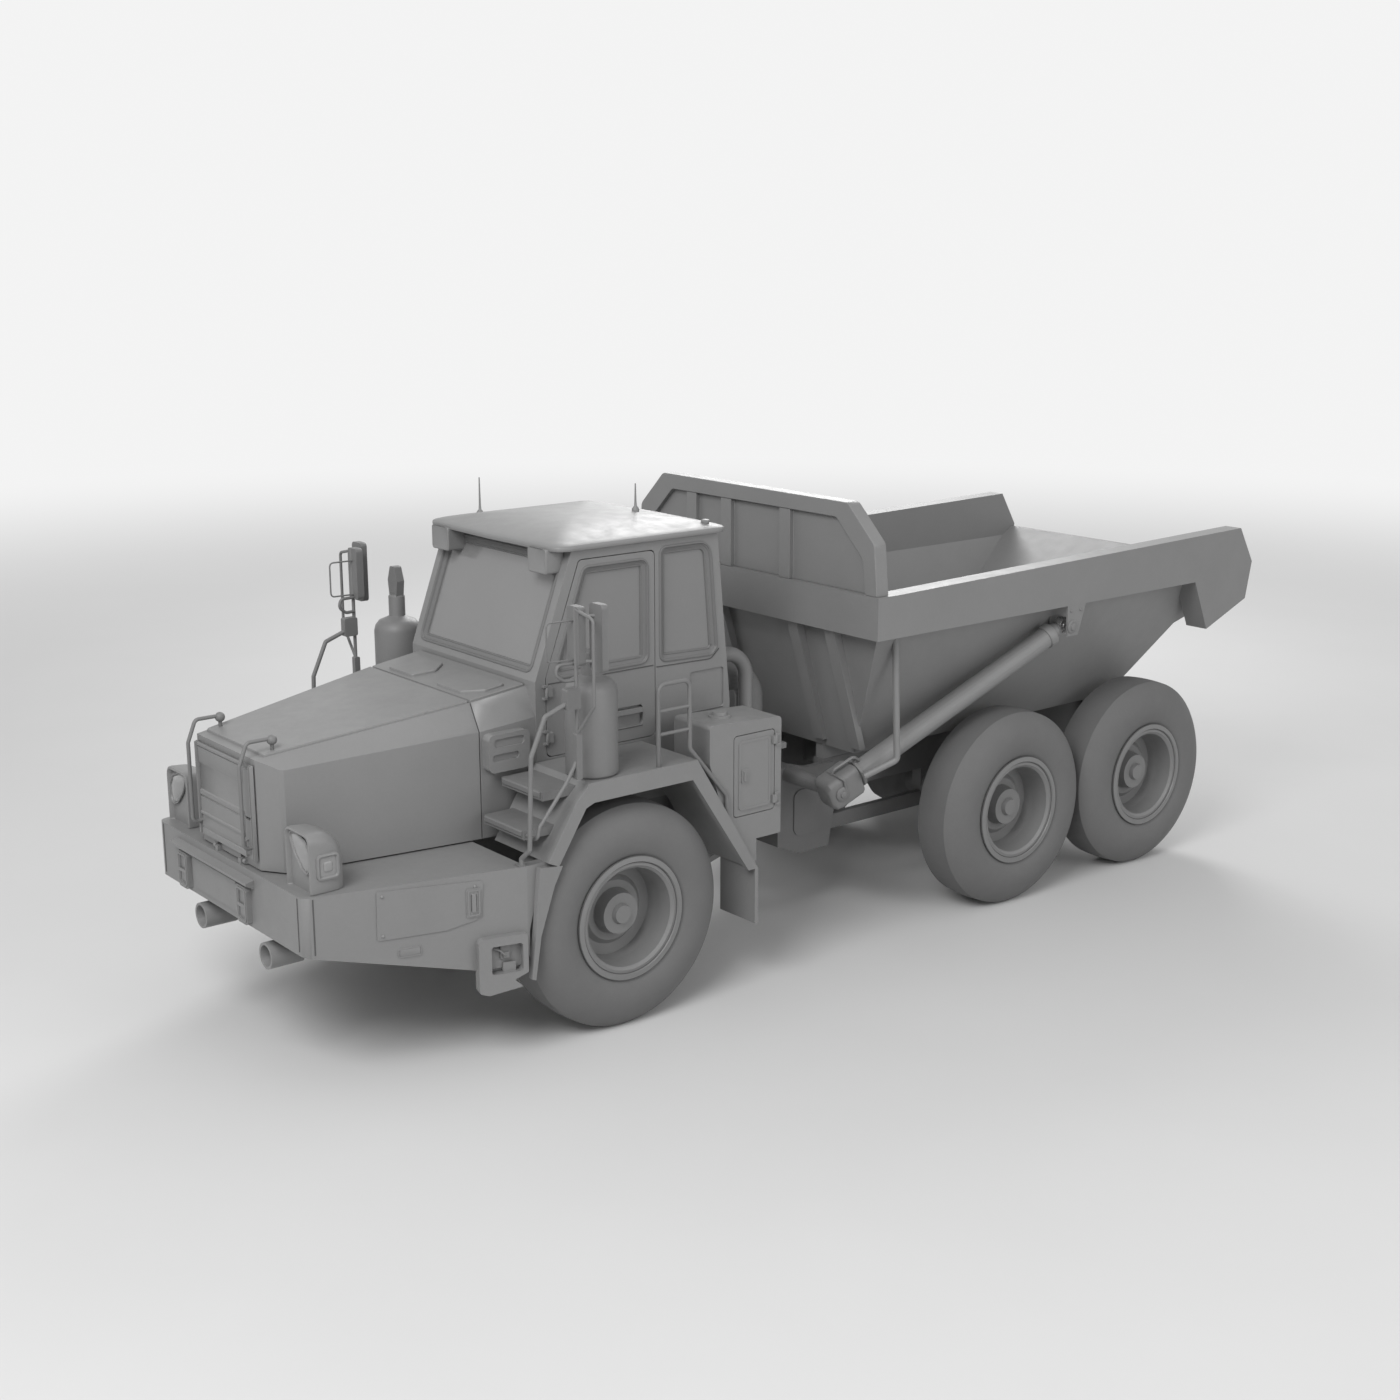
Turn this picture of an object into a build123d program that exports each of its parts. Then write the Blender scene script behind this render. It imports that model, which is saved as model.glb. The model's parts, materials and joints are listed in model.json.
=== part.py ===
from build123d import *
import math
import os

# Articulated dump truck, millimetres. X is across (left side positive), Y runs from the nose (negative)
# to the tail, Z is up and the ground is Z 0. Drawn with Y 0 beside the steering hitch, stored with Y 0 at
# the middle of the overall length.

# wheels and axles
tyre_radius = 800
tyre_half_width = 235
tyre_shoulder = 95
sidewall_radius = 573
bead_radius = 400
bead_half = 180
wheel_x = 1205
front_axle_y = -2200
mid_axle_y = 1725
rear_axle_y = 3345

# clearances
running_gap = 6
seat_gap = 0.3
pin_gap = 0.5

# frame rails, common to both halves
rail_in_x = 330
rail_out_x = 430

# front frame
rail_low_z = 960
rail_top_z = 1260
rail_rear_y = -820

# bumper
bumper_front_y = -4470
bumper_rear_y = -3035
bumper_front_half = 1050
bumper_rear_half = 1405
bumper_top_z = 1350
bumper_nose_low_z = 970
bumper_tail_low_z = 680
bumper_corner = 60
plate = 30
flare = (bumper_rear_half - bumper_front_half) / (bumper_rear_y - bumper_front_y)
tow_x = 480
tow_z = 800
tow_bore = 72
tow_wall = 18
tow_length = 190
nose_reach = 60

# number plate place on the bumper, off the middle as on the real nose
plate_x = -180
plate_half = 330
plate_low_z = 1010
plate_high_z = 1235
lip_half = 574
bracket_width = 150

# hood and cowl
hood_front_y = -4430
hood_seam_y = -2970
hood_low_z = 1362
hood_wall = 30
hood_nose_half = 560
hood_nose_top_half = 420
hood_nose_z = 2040
hood_nose_top_z = 2100
hood_seam_half = 768
hood_seam_top_half = 665
hood_seam_z = 2108
hood_seam_top_z = 2290
hood_hinge_y = hood_front_y - 5
hood_hinge_z = hood_low_z + 10
hinge_lug_x = 170
hinge_lug_half = 20
hinge_ear_in = 32
hinge_ear_out = 62
hinge_pin_radius = 8

# grille
grille_half = 390
grille_low_z = 1500
grille_high_z = 2060
hoop_x = 375
hoop_radius = 13

# cab
cab_half = 800
cab_wall = 60
cab_floor_z = 1500
cab_front_y = -2530
cab_rear_y = -810
cab_rear_lean = 120
cab_lean_z = 2000
belt_z = 2390
roof_low_z = 3255
roof_edge = 36
roof_crown = 80
roof_half = 835
roof_front_y = -2375
roof_rear_y = -825
windscreen_top_y = -2215
window_corner = 60
pillar = 90
glass = 8

# fenders and decks
deck_z = 1830
deck_plate = 40
fender_in_x = 812
fender_out_x = 1450
tyre_room = 28

# cab door
door_front_y = -2440
door_rear_y = -1505
door_sill = 20
door_low_z = deck_z + door_sill
door_top_z = 3185
door_gap = 6
door_hinge_x = cab_half + 14
door_hinge_y = door_front_y - door_gap
door_hinge_z = (1990, 2310)
door_hinge_half = 50
hinge_leaf = 15

# side boxes
box_in_x = 1000
box_out_x = 1400
box_front_y = -1490
box_rear_y = -830
box_low_z = 1090
box_top_z = 2030
box_door_front_y = -1275
box_door_rear_y = -890
box_door_low_z = 1320
box_door_high_z = 1920
box_hinge_x = box_out_x + 12
box_hinge_y = box_door_rear_y
box_hinge_z = (1400, 1840)
box_hinge_half = 45

# steps, grab rails and mirrors
step_plate = 34
step_in_x = 850
step_out_x = 1330
steps = ((-3000, 1560), (-2850, deck_z - step_plate))
grab_x = 1420
grab_front_y = -1958
grab_rear_y = -1686
grab_top_z = 2400
grab_bar_z = (2053, 2215)
mirror_arm_x = 1450
mirror_out_x = 1634
arm_radius = 16

# canisters and ducts
can_x = 1250
can_y = -2390
can_radius = 178
can_shoulder = 570
duct_shelf_z = 1540
ducts = ((420, -300, 2060, 105), (640, -520, 2300, 55))

# steering hitch
pivot_y = -200
hitch_low_z = 560
hitch_top_z = 1200
hitch_plate = 50
hitch_round = 160
knuckle_radius = 130
knuckle_front_y = -60
flange_y = -15
flange_radius = 260
roll_shaft_radius = 90
roll_z = 880

# rear frame
neck_front_y = flange_y + pin_gap
neck_rear_y = 530
neck_half = 450
neck_low_z = 500
neck_top_z = 1200
rear_rail_low_z = 950
rear_rail_top_z = 1230
rear_rail_end_y = 3900
body_pivot_y = 3790
body_pivot_z = 1100
body_pivot_radius = 45

# dump body
floor_z = 1360
floor_plate = 25
floor_half = 800
wall_top_z = 2425
rail_half = 1460
rail_width = 160
wall_half = rail_half - 130
body_rail_in_x = rail_half - rail_width
body_rail_low_z = wall_top_z
body_rail_front_top_z = 2745
body_rail_rear_top_z = 2832
body_front_y = 50
body_wall_foot_y = 470
body_wall_head_y = 170
body_tail_y = 4605
rail_tail_y = 4415
tail_low_z = 1990
tail_slope_y = 4010
tail_rise_y = 3540
middle_y = (bumper_front_y - nose_reach + body_tail_y) / 2

# headboard
guard_front_y = 60
guard_depth = 120
guard_rim = 120
guard_sheet = 30
guard_ribs = (-735, -300, 400)
guard_rib_half = 62

# hoist and steering rams
hoist_low = Vector(980, 90, 1180)
hoist_top = Vector(rail_half - 100, 2230, 2250)
hoist_stub_room = 115
hoist_pin_radius = 34
hoist_barrel_radius = 85
hoist_rod_radius = 45
hoist_barrel_start = 95
hoist_barrel_end = 2290
steer_front = Vector(400, -1450, 880)
steer_rear = Vector(400, -140, 880)
steer_barrel_radius = 50
steer_rod_radius = 28
steer_barrel_end = 960
steer_pin_radius = 22
steer_lug_low_z = 800
steer_lug_high_z = 850

os.makedirs("parts", exist_ok=True)


def box(x0, x1, y0, y1, z0, z1, mode=Mode.ADD):
    with Locations(((x0 + x1) / 2, (y0 + y1) / 2, (z0 + z1) / 2)):
        Box(abs(x1 - x0), abs(y1 - y0), abs(z1 - z0), mode=mode)


def carried(plane, points, amount, radius, mode):
    # closed outline on a plane, its corners rounded, carried along the plane's normal
    with BuildSketch(plane) as outline:
        with BuildLine():
            if radius == 0:
                Polyline(*points, close=True)
            else:
                FilletPolyline(*points, radius=radius, close=True)
        make_face()
    extrude(outline.sketch, amount=amount, mode=mode)


def side_prism(points, x0, x1, mode=Mode.ADD, radius=0):
    # outline in Y and Z, carried from x0 to x1
    carried(Plane.YZ.offset(x0), points, x1 - x0, radius, mode)


def front_prism(points, y0, y1, mode=Mode.ADD, radius=0):
    # outline in X and Z, carried from y0 to y1
    carried(Plane.XZ.offset(-y0), points, y0 - y1, radius, mode)


def plan_prism(points, z0, z1, mode=Mode.ADD, radius=0):
    # outline in X and Y, carried from z0 to z1
    carried(Plane.XY.offset(z0), points, z1 - z0, radius, mode)


def block(a0, a1, b0, b1):
    # corners of an upright rectangle
    return ((a0, b0), (a1, b0), (a1, b1), (a0, b1))


def rod_between(a, b, radius, mode=Mode.ADD):
    a, b = Vector(*a), Vector(*b)
    run = b - a
    with Locations(Plane(origin=a, z_dir=run)):
        Cylinder(radius, run.length, align=(Align.CENTER, Align.CENTER, Align.MIN), mode=mode)


def cross_rod(x0, x1, y, z, radius, mode=Mode.ADD):
    rod_between((x0, y, z), (x1, y, z), radius, mode)


def upright(x, y, z0, z1, radius, mode=Mode.ADD):
    rod_between((x, y, z0), (x, y, z1), radius, mode)


def bent_tube(points, radius, bend, mode=Mode.ADD):
    # round bar through the points, its corners bent
    with BuildLine() as path:
        FilletPolyline(*points, radius=bend)
    with BuildSketch(Plane(origin=path.line @ 0, z_dir=path.line % 0)) as ring:
        Circle(radius)
    sweep(ring.sketch, path=path.line, mode=mode)


def save(name, builder):
    stored = builder.part.moved(Location((0, -middle_y, 0)))
    stored.label = name
    export_step(stored, "parts/" + name + ".step")


# wheels: smooth round-shouldered tyres on deep-dish rims
wheels = (
    ("front_left", 1, front_axle_y),
    ("front_right", -1, front_axle_y),
    ("mid_left", 1, mid_axle_y),
    ("mid_right", -1, mid_axle_y),
    ("rear_left", 1, rear_axle_y),
    ("rear_right", -1, rear_axle_y),
)
tread_half = tyre_half_width - tyre_shoulder
tread_edge = tyre_radius - 8
rim_flange = bead_half + 46
disc_x = -20
hub_radius = 165
hub_x = 95
cap_radius = 75
cap_x = 125
rim_profile = (
    (-bead_half + 5, bead_radius - 40),
    (-bead_half + 5, bead_radius),
    (bead_half + 18, bead_radius),
    (bead_half + 26, bead_radius + 38),
    (bead_half + 42, bead_radius + 38),
    (rim_flange, bead_radius + 2),
    (rim_flange - 14, bead_radius - 4),
    (rim_flange - 10, bead_radius - 28),
    (bead_half + 18, bead_radius - 48),
    (60, bead_radius - 60),
    (disc_x, bead_radius - 75),
    (disc_x - 5, 250),
    (disc_x + 25, 215),
    (disc_x + 25, hub_radius),
    (hub_x, hub_radius - 20),
    (hub_x, cap_radius),
    (cap_x, cap_radius - 12),
    (cap_x, 0),
    (disc_x - 35, 0),
    (disc_x - 35, bead_radius - 55),
)


def wheel_plane(x, y, side):
    # first axis outwards, second away from the axle
    return Plane(origin=(x, y, tyre_radius), x_dir=(side, 0, 0), z_dir=(0, -side, 0))


def revolved(points, x, y, side):
    with BuildSketch(wheel_plane(x, y, side)) as outline:
        with BuildLine():
            Polyline(*points, close=True)
        make_face()
    revolve(outline.sketch, axis=Axis((x, y, tyre_radius), (1, 0, 0)), revolution_arc=360)


for wheel_name, side, axle_y in wheels:
    with BuildPart() as tyre:
        with BuildSketch(wheel_plane(side * wheel_x, axle_y, side)) as tyre_section:
            with BuildLine():
                Line((-bead_half, bead_radius), (bead_half, bead_radius))
                ThreePointArc((bead_half, bead_radius), (tyre_half_width, sidewall_radius),
                              (tread_half, tread_edge))
                ThreePointArc((tread_half, tread_edge), (0, tyre_radius), (-tread_half, tread_edge))
                ThreePointArc((-tread_half, tread_edge), (-tyre_half_width, sidewall_radius),
                              (-bead_half, bead_radius))
            make_face()
        revolve(tyre_section.sketch, axis=Axis((side * wheel_x, axle_y, tyre_radius), (1, 0, 0)),
                revolution_arc=360)
    save(wheel_name + "_tyre", tyre)
    with BuildPart() as rim:
        revolved(rim_profile, side * wheel_x, axle_y, side)
    save(wheel_name + "_rim", rim)

# axle housings end in a drum inside each rim
arm_x = (rail_in_x + rail_out_x) / 2
arm_half = 50
drum_out_x = wheel_x + disc_x - 35 - seat_gap
drum_radius = 230
drum_width = 130
axle_profile = (
    (0, 0),
    (0, 255),
    (90, 240),
    (180, 190),
    (240, 115),
    (drum_out_x - 2 * drum_width, 105),
    (drum_out_x - drum_width - 20, 150),
    (drum_out_x - drum_width, drum_radius),
    (drum_out_x, drum_radius),
    (drum_out_x, 0),
)


def axle_housing(axle_y, pad_top):
    for side in (-1, 1):
        revolved(axle_profile, 0, axle_y, side)
        box(side * (arm_x - arm_half), side * (arm_x + arm_half), axle_y - 120, axle_y + 120, tyre_radius,
            pad_top)


with BuildPart() as front_axle:
    axle_housing(front_axle_y, rail_low_z)
save("front_axle", front_axle)

drawbar_half = 30
with BuildPart() as tandem_axles:
    for axle_y in (mid_axle_y, rear_axle_y):
        axle_housing(axle_y, rear_rail_low_z)
    for side in (-1, 1):
        for y0, y1, z0, z1 in ((mid_axle_y + 60, rear_axle_y - 60, 700, 800),
                               (neck_rear_y + 60 + running_gap, mid_axle_y - 60, 620, 740)):
            box(side * arm_x - drawbar_half, side * arm_x + drawbar_half, y0, y1, z0, z1)
save("tandem_axles", tandem_axles)

# front frame: two rails, cross beams and the two hitch plates
beam_width = 120
with BuildPart() as front_frame:
    for side in (-1, 1):
        box(side * rail_in_x, side * rail_out_x, bumper_front_y + plate, rail_rear_y, rail_low_z, rail_top_z)
    for beam_y in (bumper_front_y + plate, -3300, -1600, rail_rear_y - beam_width):
        box(-rail_in_x, rail_in_x, beam_y, beam_y + beam_width, rail_low_z + 40, rail_low_z + 200)
    box(-rail_in_x, rail_in_x, rail_rear_y - beam_width, rail_rear_y, hitch_low_z, hitch_top_z)
    for z0 in (hitch_low_z, hitch_top_z - hitch_plate):
        plan_prism(((-rail_out_x, rail_rear_y - 40), (rail_out_x, rail_rear_y - 40),
                    (hitch_round, pivot_y), (-hitch_round, pivot_y)), z0, z0 + hitch_plate)
        upright(0, pivot_y, z0, z0 + hitch_plate, hitch_round)
    for side in (-1, 1):
        upright(side * steer_front.X, steer_front.Y, steer_lug_low_z + 15, rail_low_z, steer_pin_radius)
        upright(side * steer_front.X, steer_front.Y, steer_lug_low_z, steer_lug_low_z + 20, 45)
        box(side * rail_out_x, side * 960, bumper_rear_y + 35, bumper_rear_y + 95, rail_top_z - 90,
            rail_top_z)
        box(side * rail_out_x, side * box_in_x, box_rear_y - 260, box_rear_y - 120, box_low_z - 20,
            rail_top_z - 20)
save("front_frame", front_frame)

# bumper: a deck with a flared skirt, tow tubes, and on the nose a number plate place under a lip
well_half = 460
well_front = 330
side_panel = ((-4020, 999), (-3581, 999), (-3345, 1045), (-3326, 1301), (-4013, 1326))
panel_radii = (12, 60, 70, 30, 12)
side_latch = block(-3444, -3347, 1061, 1259)
side_latch_slot = block(-3415, -3376, 1100, 1220)
side_slot = block(-3880, -3748, 870, 915)
step_frame = ((-3385, 910), (-3385, 540), (-3320, 516), (-3090, 545), (-3150, 600), (-3055, 640),
              (-3055, 910))
step_frame_radii = (40, 25, 25, 8, 8, 10, 25)
step_opening = block(-3300, -3090, 655, 850)
step_hook = block(-3215, -3130, 655, 720)


def bumper_plan(inset, y_end):
    y0 = bumper_front_y + inset
    h0 = bumper_front_half - inset
    h1 = bumper_rear_half - inset
    return ((-h0, y0), (h0, y0), (h1, y_end), (-h1, y_end))


def on_flare(points, inner, outer, radius=0, mode=Mode.ADD):
    # outline in Y and Z on the left flared side, carried from inner to outer off its face
    face = Plane(origin=(bumper_front_half, bumper_front_y, 0), x_dir=(flare, 1, 0), z_dir=(1, -flare, 0))
    rows = [((y - bumper_front_y) * math.hypot(1, flare), z) for y, z in points]
    carried(face.offset(inner), rows, outer - inner, radius, mode)


with BuildPart() as bumper:
    plan_prism(bumper_plan(0, bumper_rear_y), bumper_tail_low_z - 60, bumper_top_z,
               radius=(bumper_corner, bumper_corner, 0, 0))
    plan_prism(bumper_plan(plate, bumper_rear_y + 50), bumper_tail_low_z - 110, bumper_top_z - plate,
               Mode.SUBTRACT)
    box(-well_half, well_half, bumper_front_y + well_front, bumper_rear_y + 50, bumper_top_z - 60,
        bumper_top_z + 20,
        Mode.SUBTRACT)
    side_prism(((bumper_front_y - 50, bumper_nose_low_z), (bumper_rear_y - 320, bumper_tail_low_z),
                (bumper_rear_y + 60, bumper_tail_low_z), (bumper_rear_y + 60, 0), (bumper_front_y - 50, 0)),
               -2 * bumper_rear_half, 2 * bumper_rear_half, Mode.SUBTRACT)
    on_flare(side_panel, -5, 7, panel_radii)
    on_flare(side_latch, 0, 14, 14)
    on_flare(side_latch_slot, 8, 20, 8, Mode.SUBTRACT)
    on_flare(side_slot, 0, 6, 10)
    on_flare(step_frame, -26, 52, step_frame_radii)
    on_flare(step_opening, -60, 60, 20, Mode.SUBTRACT)
    on_flare(step_hook, -26, 20, 8)
    rod_between((tow_x, bumper_front_y + 10, tow_z), (tow_x, bumper_front_y + 10 + tow_length + 50, tow_z),
                tow_bore + tow_wall)
    rod_between((tow_x, bumper_front_y + 5, tow_z), (tow_x, bumper_front_y + 5 + tow_length + 5, tow_z),
                tow_bore,
                Mode.SUBTRACT)
    box(tow_x - 20, tow_x + 20, bumper_front_y + 120, bumper_front_y + 220, tow_z + 80, rail_low_z + 60)
    box(rail_out_x, tow_x, bumper_front_y + 120, bumper_front_y + 220, rail_low_z + 10, rail_low_z + 60)
    box(hinge_lug_x - hinge_lug_half, hinge_lug_x + hinge_lug_half, hood_hinge_y - 22, hood_hinge_y + 22,
        bumper_top_z, hood_hinge_z + 14)
    cross_rod(hinge_lug_x - hinge_lug_half, hinge_lug_x + hinge_ear_out, hood_hinge_y, hood_hinge_z,
              hinge_pin_radius)
    mirror(about=Plane.YZ)
    side_prism(((bumper_front_y - nose_reach, plate_high_z + 30), (bumper_front_y - nose_reach,
                                                                   plate_high_z + 48),
                (bumper_front_y, plate_high_z + 62), (bumper_front_y, plate_high_z)),
               plate_x - lip_half, plate_x + lip_half)
    front_prism(block(plate_x - plate_half, plate_x + plate_half, plate_low_z, plate_high_z - 12),
                bumper_front_y, bumper_front_y - 14, radius=18)
    for side in (-1, 1):
        x0 = plate_x + side * (plate_half + 42)
        x1 = x0 + side * bracket_width
        front_prism(block(min(x0, x1), max(x0, x1), plate_low_z - 35, plate_high_z), bumper_front_y,
                    bumper_front_y - 36, radius=28)
        front_prism(block(min(x0, x1) + 34, max(x0, x1) - 34, plate_low_z, plate_high_z - 35),
                    bumper_front_y - 26,
                    bumper_front_y - 40, Mode.SUBTRACT, 14)
        front_prism(block(min(x0, x1) + 44, max(x0, x1) - 44, plate_low_z + 20, plate_low_z + 90),
                    bumper_front_y - 20, bumper_front_y - 32, radius=8)
save("bumper", bumper)

# engine, one plain block on the frame rails
engine_half = 400
engine_top_z = 1880
engine_front_y = -4080
engine_rear_y = -3020
with BuildPart() as engine_block:
    box(-engine_half, engine_half, engine_front_y, engine_rear_y, rail_top_z, engine_top_z)
    box(-rail_in_x + 30, rail_in_x - 30, engine_front_y, engine_rear_y, rail_top_z - 90, rail_top_z)
    chamfer(engine_block.edges().filter_by(Axis.Y).group_by(Axis.Z)[-1], 60)
save("engine_block", engine_block)


# hood: a ruled shell between a narrow nose and a wide seam, its nose corners cut back
def hood_section(half, shoulder_z, top_half, top_z):
    return ((-half, hood_low_z), (-half, shoulder_z), (-top_half, top_z), (top_half, top_z),
            (half, shoulder_z),
            (half, hood_low_z))


hood_front = hood_section(hood_nose_half, hood_nose_z, hood_nose_top_half, hood_nose_top_z)
hood_seam = hood_section(hood_seam_half, hood_seam_z, hood_seam_top_half, hood_seam_top_z)
hood_back = hood_section(cab_half - 5, hood_seam_z + 42, cab_half - 110, hood_seam_top_z + 55)
pad_in_x = 130
pad_out_x = 600
pad_front_y = -3330
pad_rear_y = -3010
pad_height = 14


def shrunk(points, wall):
    # the section one wall inside, open below
    rows = []
    for x, z in points:
        rows.append((x - math.copysign(wall, x), z - wall if z > hood_low_z + 1 else z - 2 * wall))
    return tuple(rows)


def section(points, y):
    with BuildSketch(Plane.XZ.offset(-y)) as outline:
        with BuildLine():
            Polyline(*points, close=True)
        make_face()
    return outline.sketch


def nose_cut(inset):
    # takes both front corners off the hood, beside the headlamps
    x0, x1, x2 = hood_nose_top_half - inset, hood_nose_half - inset, hood_nose_half + 140 - inset
    y0 = hood_front_y + inset
    for side in (-1, 1):
        plan_prism(((side * x0, y0 - 60), (side * x2, y0 - 60), (side * x2, y0 + 300), (side * x1, y0 + 95),
                    (side * x0, y0)), hood_low_z - 100, hood_seam_top_z + 100, Mode.SUBTRACT)


def hood_top_plane():
    rise = hood_seam_top_z - hood_nose_top_z
    run = hood_seam_y - hood_front_y
    return Plane(origin=(0, hood_front_y, hood_nose_top_z), x_dir=(1, 0, 0), z_dir=(0, -rise, run))


with BuildPart() as hood_core:
    loft([section(shrunk(hood_front, hood_wall), hood_front_y + hood_wall + 10),
          section(shrunk(hood_seam, hood_wall), hood_seam_y + 1)], ruled=True)
    nose_cut(hood_wall)
with BuildPart() as hood:
    loft([section(hood_front, hood_front_y), section(hood_seam, hood_seam_y)], ruled=True)
    nose_cut(0)
    for side in (-1, 1):
        carried(hood_top_plane().offset(-10),
                block(min(side * pad_in_x, side * pad_out_x), max(side * pad_in_x, side * pad_out_x),
                      pad_front_y - hood_front_y, pad_rear_y - hood_front_y), 10 + pad_height, 60, Mode.ADD)
    add(hood_core.part, mode=Mode.SUBTRACT)
    box(-grille_half, grille_half, hood_front_y - 20, hood_front_y + hood_wall + 20, grille_low_z,
        grille_high_z,
        Mode.SUBTRACT)
    for side in (-1, 1):
        cross_rod(side * (hinge_lug_x - hinge_ear_in), side * (hinge_lug_x + hinge_ear_in), hood_hinge_y,
                  hood_hinge_z, 40, Mode.SUBTRACT)
        cross_rod(side * (hinge_lug_x + hinge_ear_in), side * (hinge_lug_x + hinge_ear_out), hood_hinge_y,
                  hood_hinge_z, 18)
        cross_rod(side * (hinge_lug_x + hinge_ear_in), side * (hinge_lug_x + hinge_ear_out), hood_hinge_y,
                  hood_hinge_z, hinge_pin_radius + pin_gap, Mode.SUBTRACT)
save("hood", hood)

# grille: a framed plate with a bare name panel, ribs, a slatted lower field, a side column and two hoops
grille_back_y = hood_front_y + 28
grille_face_y = hood_front_y + 8
field_left = -352
field_right = 262
column_left = 285
slats = 9
slat_pitch = 20
ball_radius = 34
grille_panels = (
    (field_left, field_right, 1790, 1960, 22),
    (field_left, field_right, 1975, 2010, 12),
    (field_left, field_right, 1735, 1768, 20),
    (field_left, field_right, 1636, 1660, 14),
    (column_left, grille_half - 20, 1745, 2030, 12),
    (column_left, grille_half - 20, 1520, 1728, 12),
)
with BuildPart() as grille:
    box(-grille_half, grille_half, grille_face_y, grille_back_y, grille_low_z, grille_high_z)
    front_prism(block(-grille_half, grille_half, grille_low_z, grille_high_z), grille_face_y,
                hood_front_y - 14,
                radius=30)
    front_prism(block(-grille_half + 24, grille_half - 14, grille_low_z + 14, grille_high_z - 30),
                grille_face_y,
                hood_front_y - 20, Mode.SUBTRACT, 16)
    for x0, x1, z0, z1, proud in grille_panels:
        front_prism(block(x0, x1, z0, z1), grille_face_y, grille_face_y - proud, radius=8)
    for k in range(slats):
        z = grille_low_z + 26 + slat_pitch * k
        if z < 1620:
            box(field_left, field_right, grille_face_y - 10, grille_face_y, z, z + slat_pitch / 2)
        else:
            box(field_left, field_right, grille_face_y - 6, grille_face_y, z + 45, z + 45 + slat_pitch / 2)
    box(column_left + 18, column_left + 34, grille_face_y - 30, grille_face_y, 1590, 1680)
    hoop_y = bumper_front_y - nose_reach + hoop_radius
    ball_y = hood_front_y + 150
    rise = (hood_seam_top_z - hood_nose_top_z) / (hood_seam_y - hood_front_y)
    ball_z = hood_nose_top_z + rise * (ball_y - hood_front_y) + 80
    for x in (-hoop_x, hoop_x):
        bent_tube(((x, grille_face_y, grille_low_z + 20), (x, hoop_y, grille_low_z),
                   (x, hoop_y, grille_high_z),
                   (x, hoop_y + 60, ball_z + 10), (x, ball_y, ball_z + 10), (x, ball_y, ball_z - 78)),
                  hoop_radius, 40)
        with Locations((x, ball_y, ball_z)):
            Sphere(ball_radius)
save("grille", grille)

# cowl between hood and windscreen, with a pressed intake panel on each side
intake = block(-2945, -2614, 1828, 2093)
intake_slot = block(-2915, -2705, 1905, 1955)
with BuildPart() as cowl_core:
    loft([section(shrunk(hood_seam, hood_wall), hood_seam_y),
          section(shrunk(hood_back, hood_wall), cab_front_y - hood_wall)], ruled=True)
with BuildPart() as cowl:
    loft([section(hood_seam, hood_seam_y + 8), section(hood_back, cab_front_y)], ruled=True)
    add(cowl_core.part, mode=Mode.SUBTRACT)
    side_prism(intake, hood_seam_half - 10, 850, radius=45)
    side_prism(intake_slot, 832, 860, Mode.SUBTRACT, 20)
    side_prism(((-2900, 2000), (-2660, 2000), (-2660, 2060), (-2900, 2060)), 838, 860, Mode.SUBTRACT, 25)
    mirror(about=Plane.YZ)
save("cowl", cowl)

# headlamp pods on the bumper deck, with a leaf shaped lens in front and a square lamp at the side
pod_in_x = 713
pod_out_x = 1040
pod_front_y = bumper_front_y + 70
pod_rear_y = pod_front_y + 252
pod_top_z = bumper_top_z + 393
pod_round = 60
with BuildPart() as headlamps:
    front_prism(block(pod_in_x, pod_out_x, bumper_top_z, pod_top_z), pod_front_y, pod_rear_y,
                radius=(0, 0, pod_round, pod_round))
    side_prism(block(pod_front_y, pod_rear_y, bumper_top_z, pod_top_z), pod_in_x, pod_out_x, Mode.INTERSECT,
               (0, 0, pod_round - 10, pod_round - 10))
    plan_prism(block(pod_in_x, pod_out_x, pod_front_y, pod_rear_y), bumper_top_z, pod_top_z, Mode.INTERSECT,
               pod_round - 20)
    with BuildSketch(Plane.XZ.offset(-pod_front_y - 20)) as lens:
        with Locations((pod_out_x - 130, pod_top_z - 127)):
            Ellipse(112, 76)
    extrude(lens.sketch, amount=32)
    with BuildSketch(Plane.XZ.offset(-pod_front_y + 6)) as lens_cut:
        with Locations((pod_out_x - 130, pod_top_z - 127)):
            Ellipse(98, 62)
    extrude(lens_cut.sketch, amount=20, mode=Mode.SUBTRACT)
    side_prism(block(pod_front_y + 50, pod_rear_y - 54, pod_top_z - 300, pod_top_z - 140), pod_out_x - 10,
               pod_out_x + 16, radius=14)
    side_prism(block(pod_front_y + 66, pod_rear_y - 70, pod_top_z - 284, pod_top_z - 156), pod_out_x + 6,
               pod_out_x + 30, Mode.SUBTRACT, 8)
    mirror(about=Plane.YZ)
save("headlamps", headlamps)

# front fenders: arch with an outer lip, a wing down beside the tyre and a rear flap
fender_leg_y = front_axle_y - 695
fender_knee_y = front_axle_y - 465
fender_head_y = front_axle_y - 350
fender_tail_y = front_axle_y + 560
flap_y = front_axle_y + 1118
flap_z = 925
lip_in_x = fender_out_x - 50
lip_depth = 138
wing_in_x = fender_out_x - 45
wedge_in_x = fender_out_x - 120
arch = (
    (fender_leg_y, bumper_top_z),
    (fender_knee_y, deck_z - 118),
    (fender_head_y, deck_z),
    (fender_tail_y, deck_z),
    (flap_y, flap_z),
)
arch_under = (
    (flap_y - 50, flap_z),
    (fender_tail_y - 28, deck_z - deck_plate),
    (fender_head_y + 20, deck_z - deck_plate),
    (fender_knee_y + 37, deck_z - 140),
    (fender_leg_y + 40, bumper_top_z - 20),
)
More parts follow.
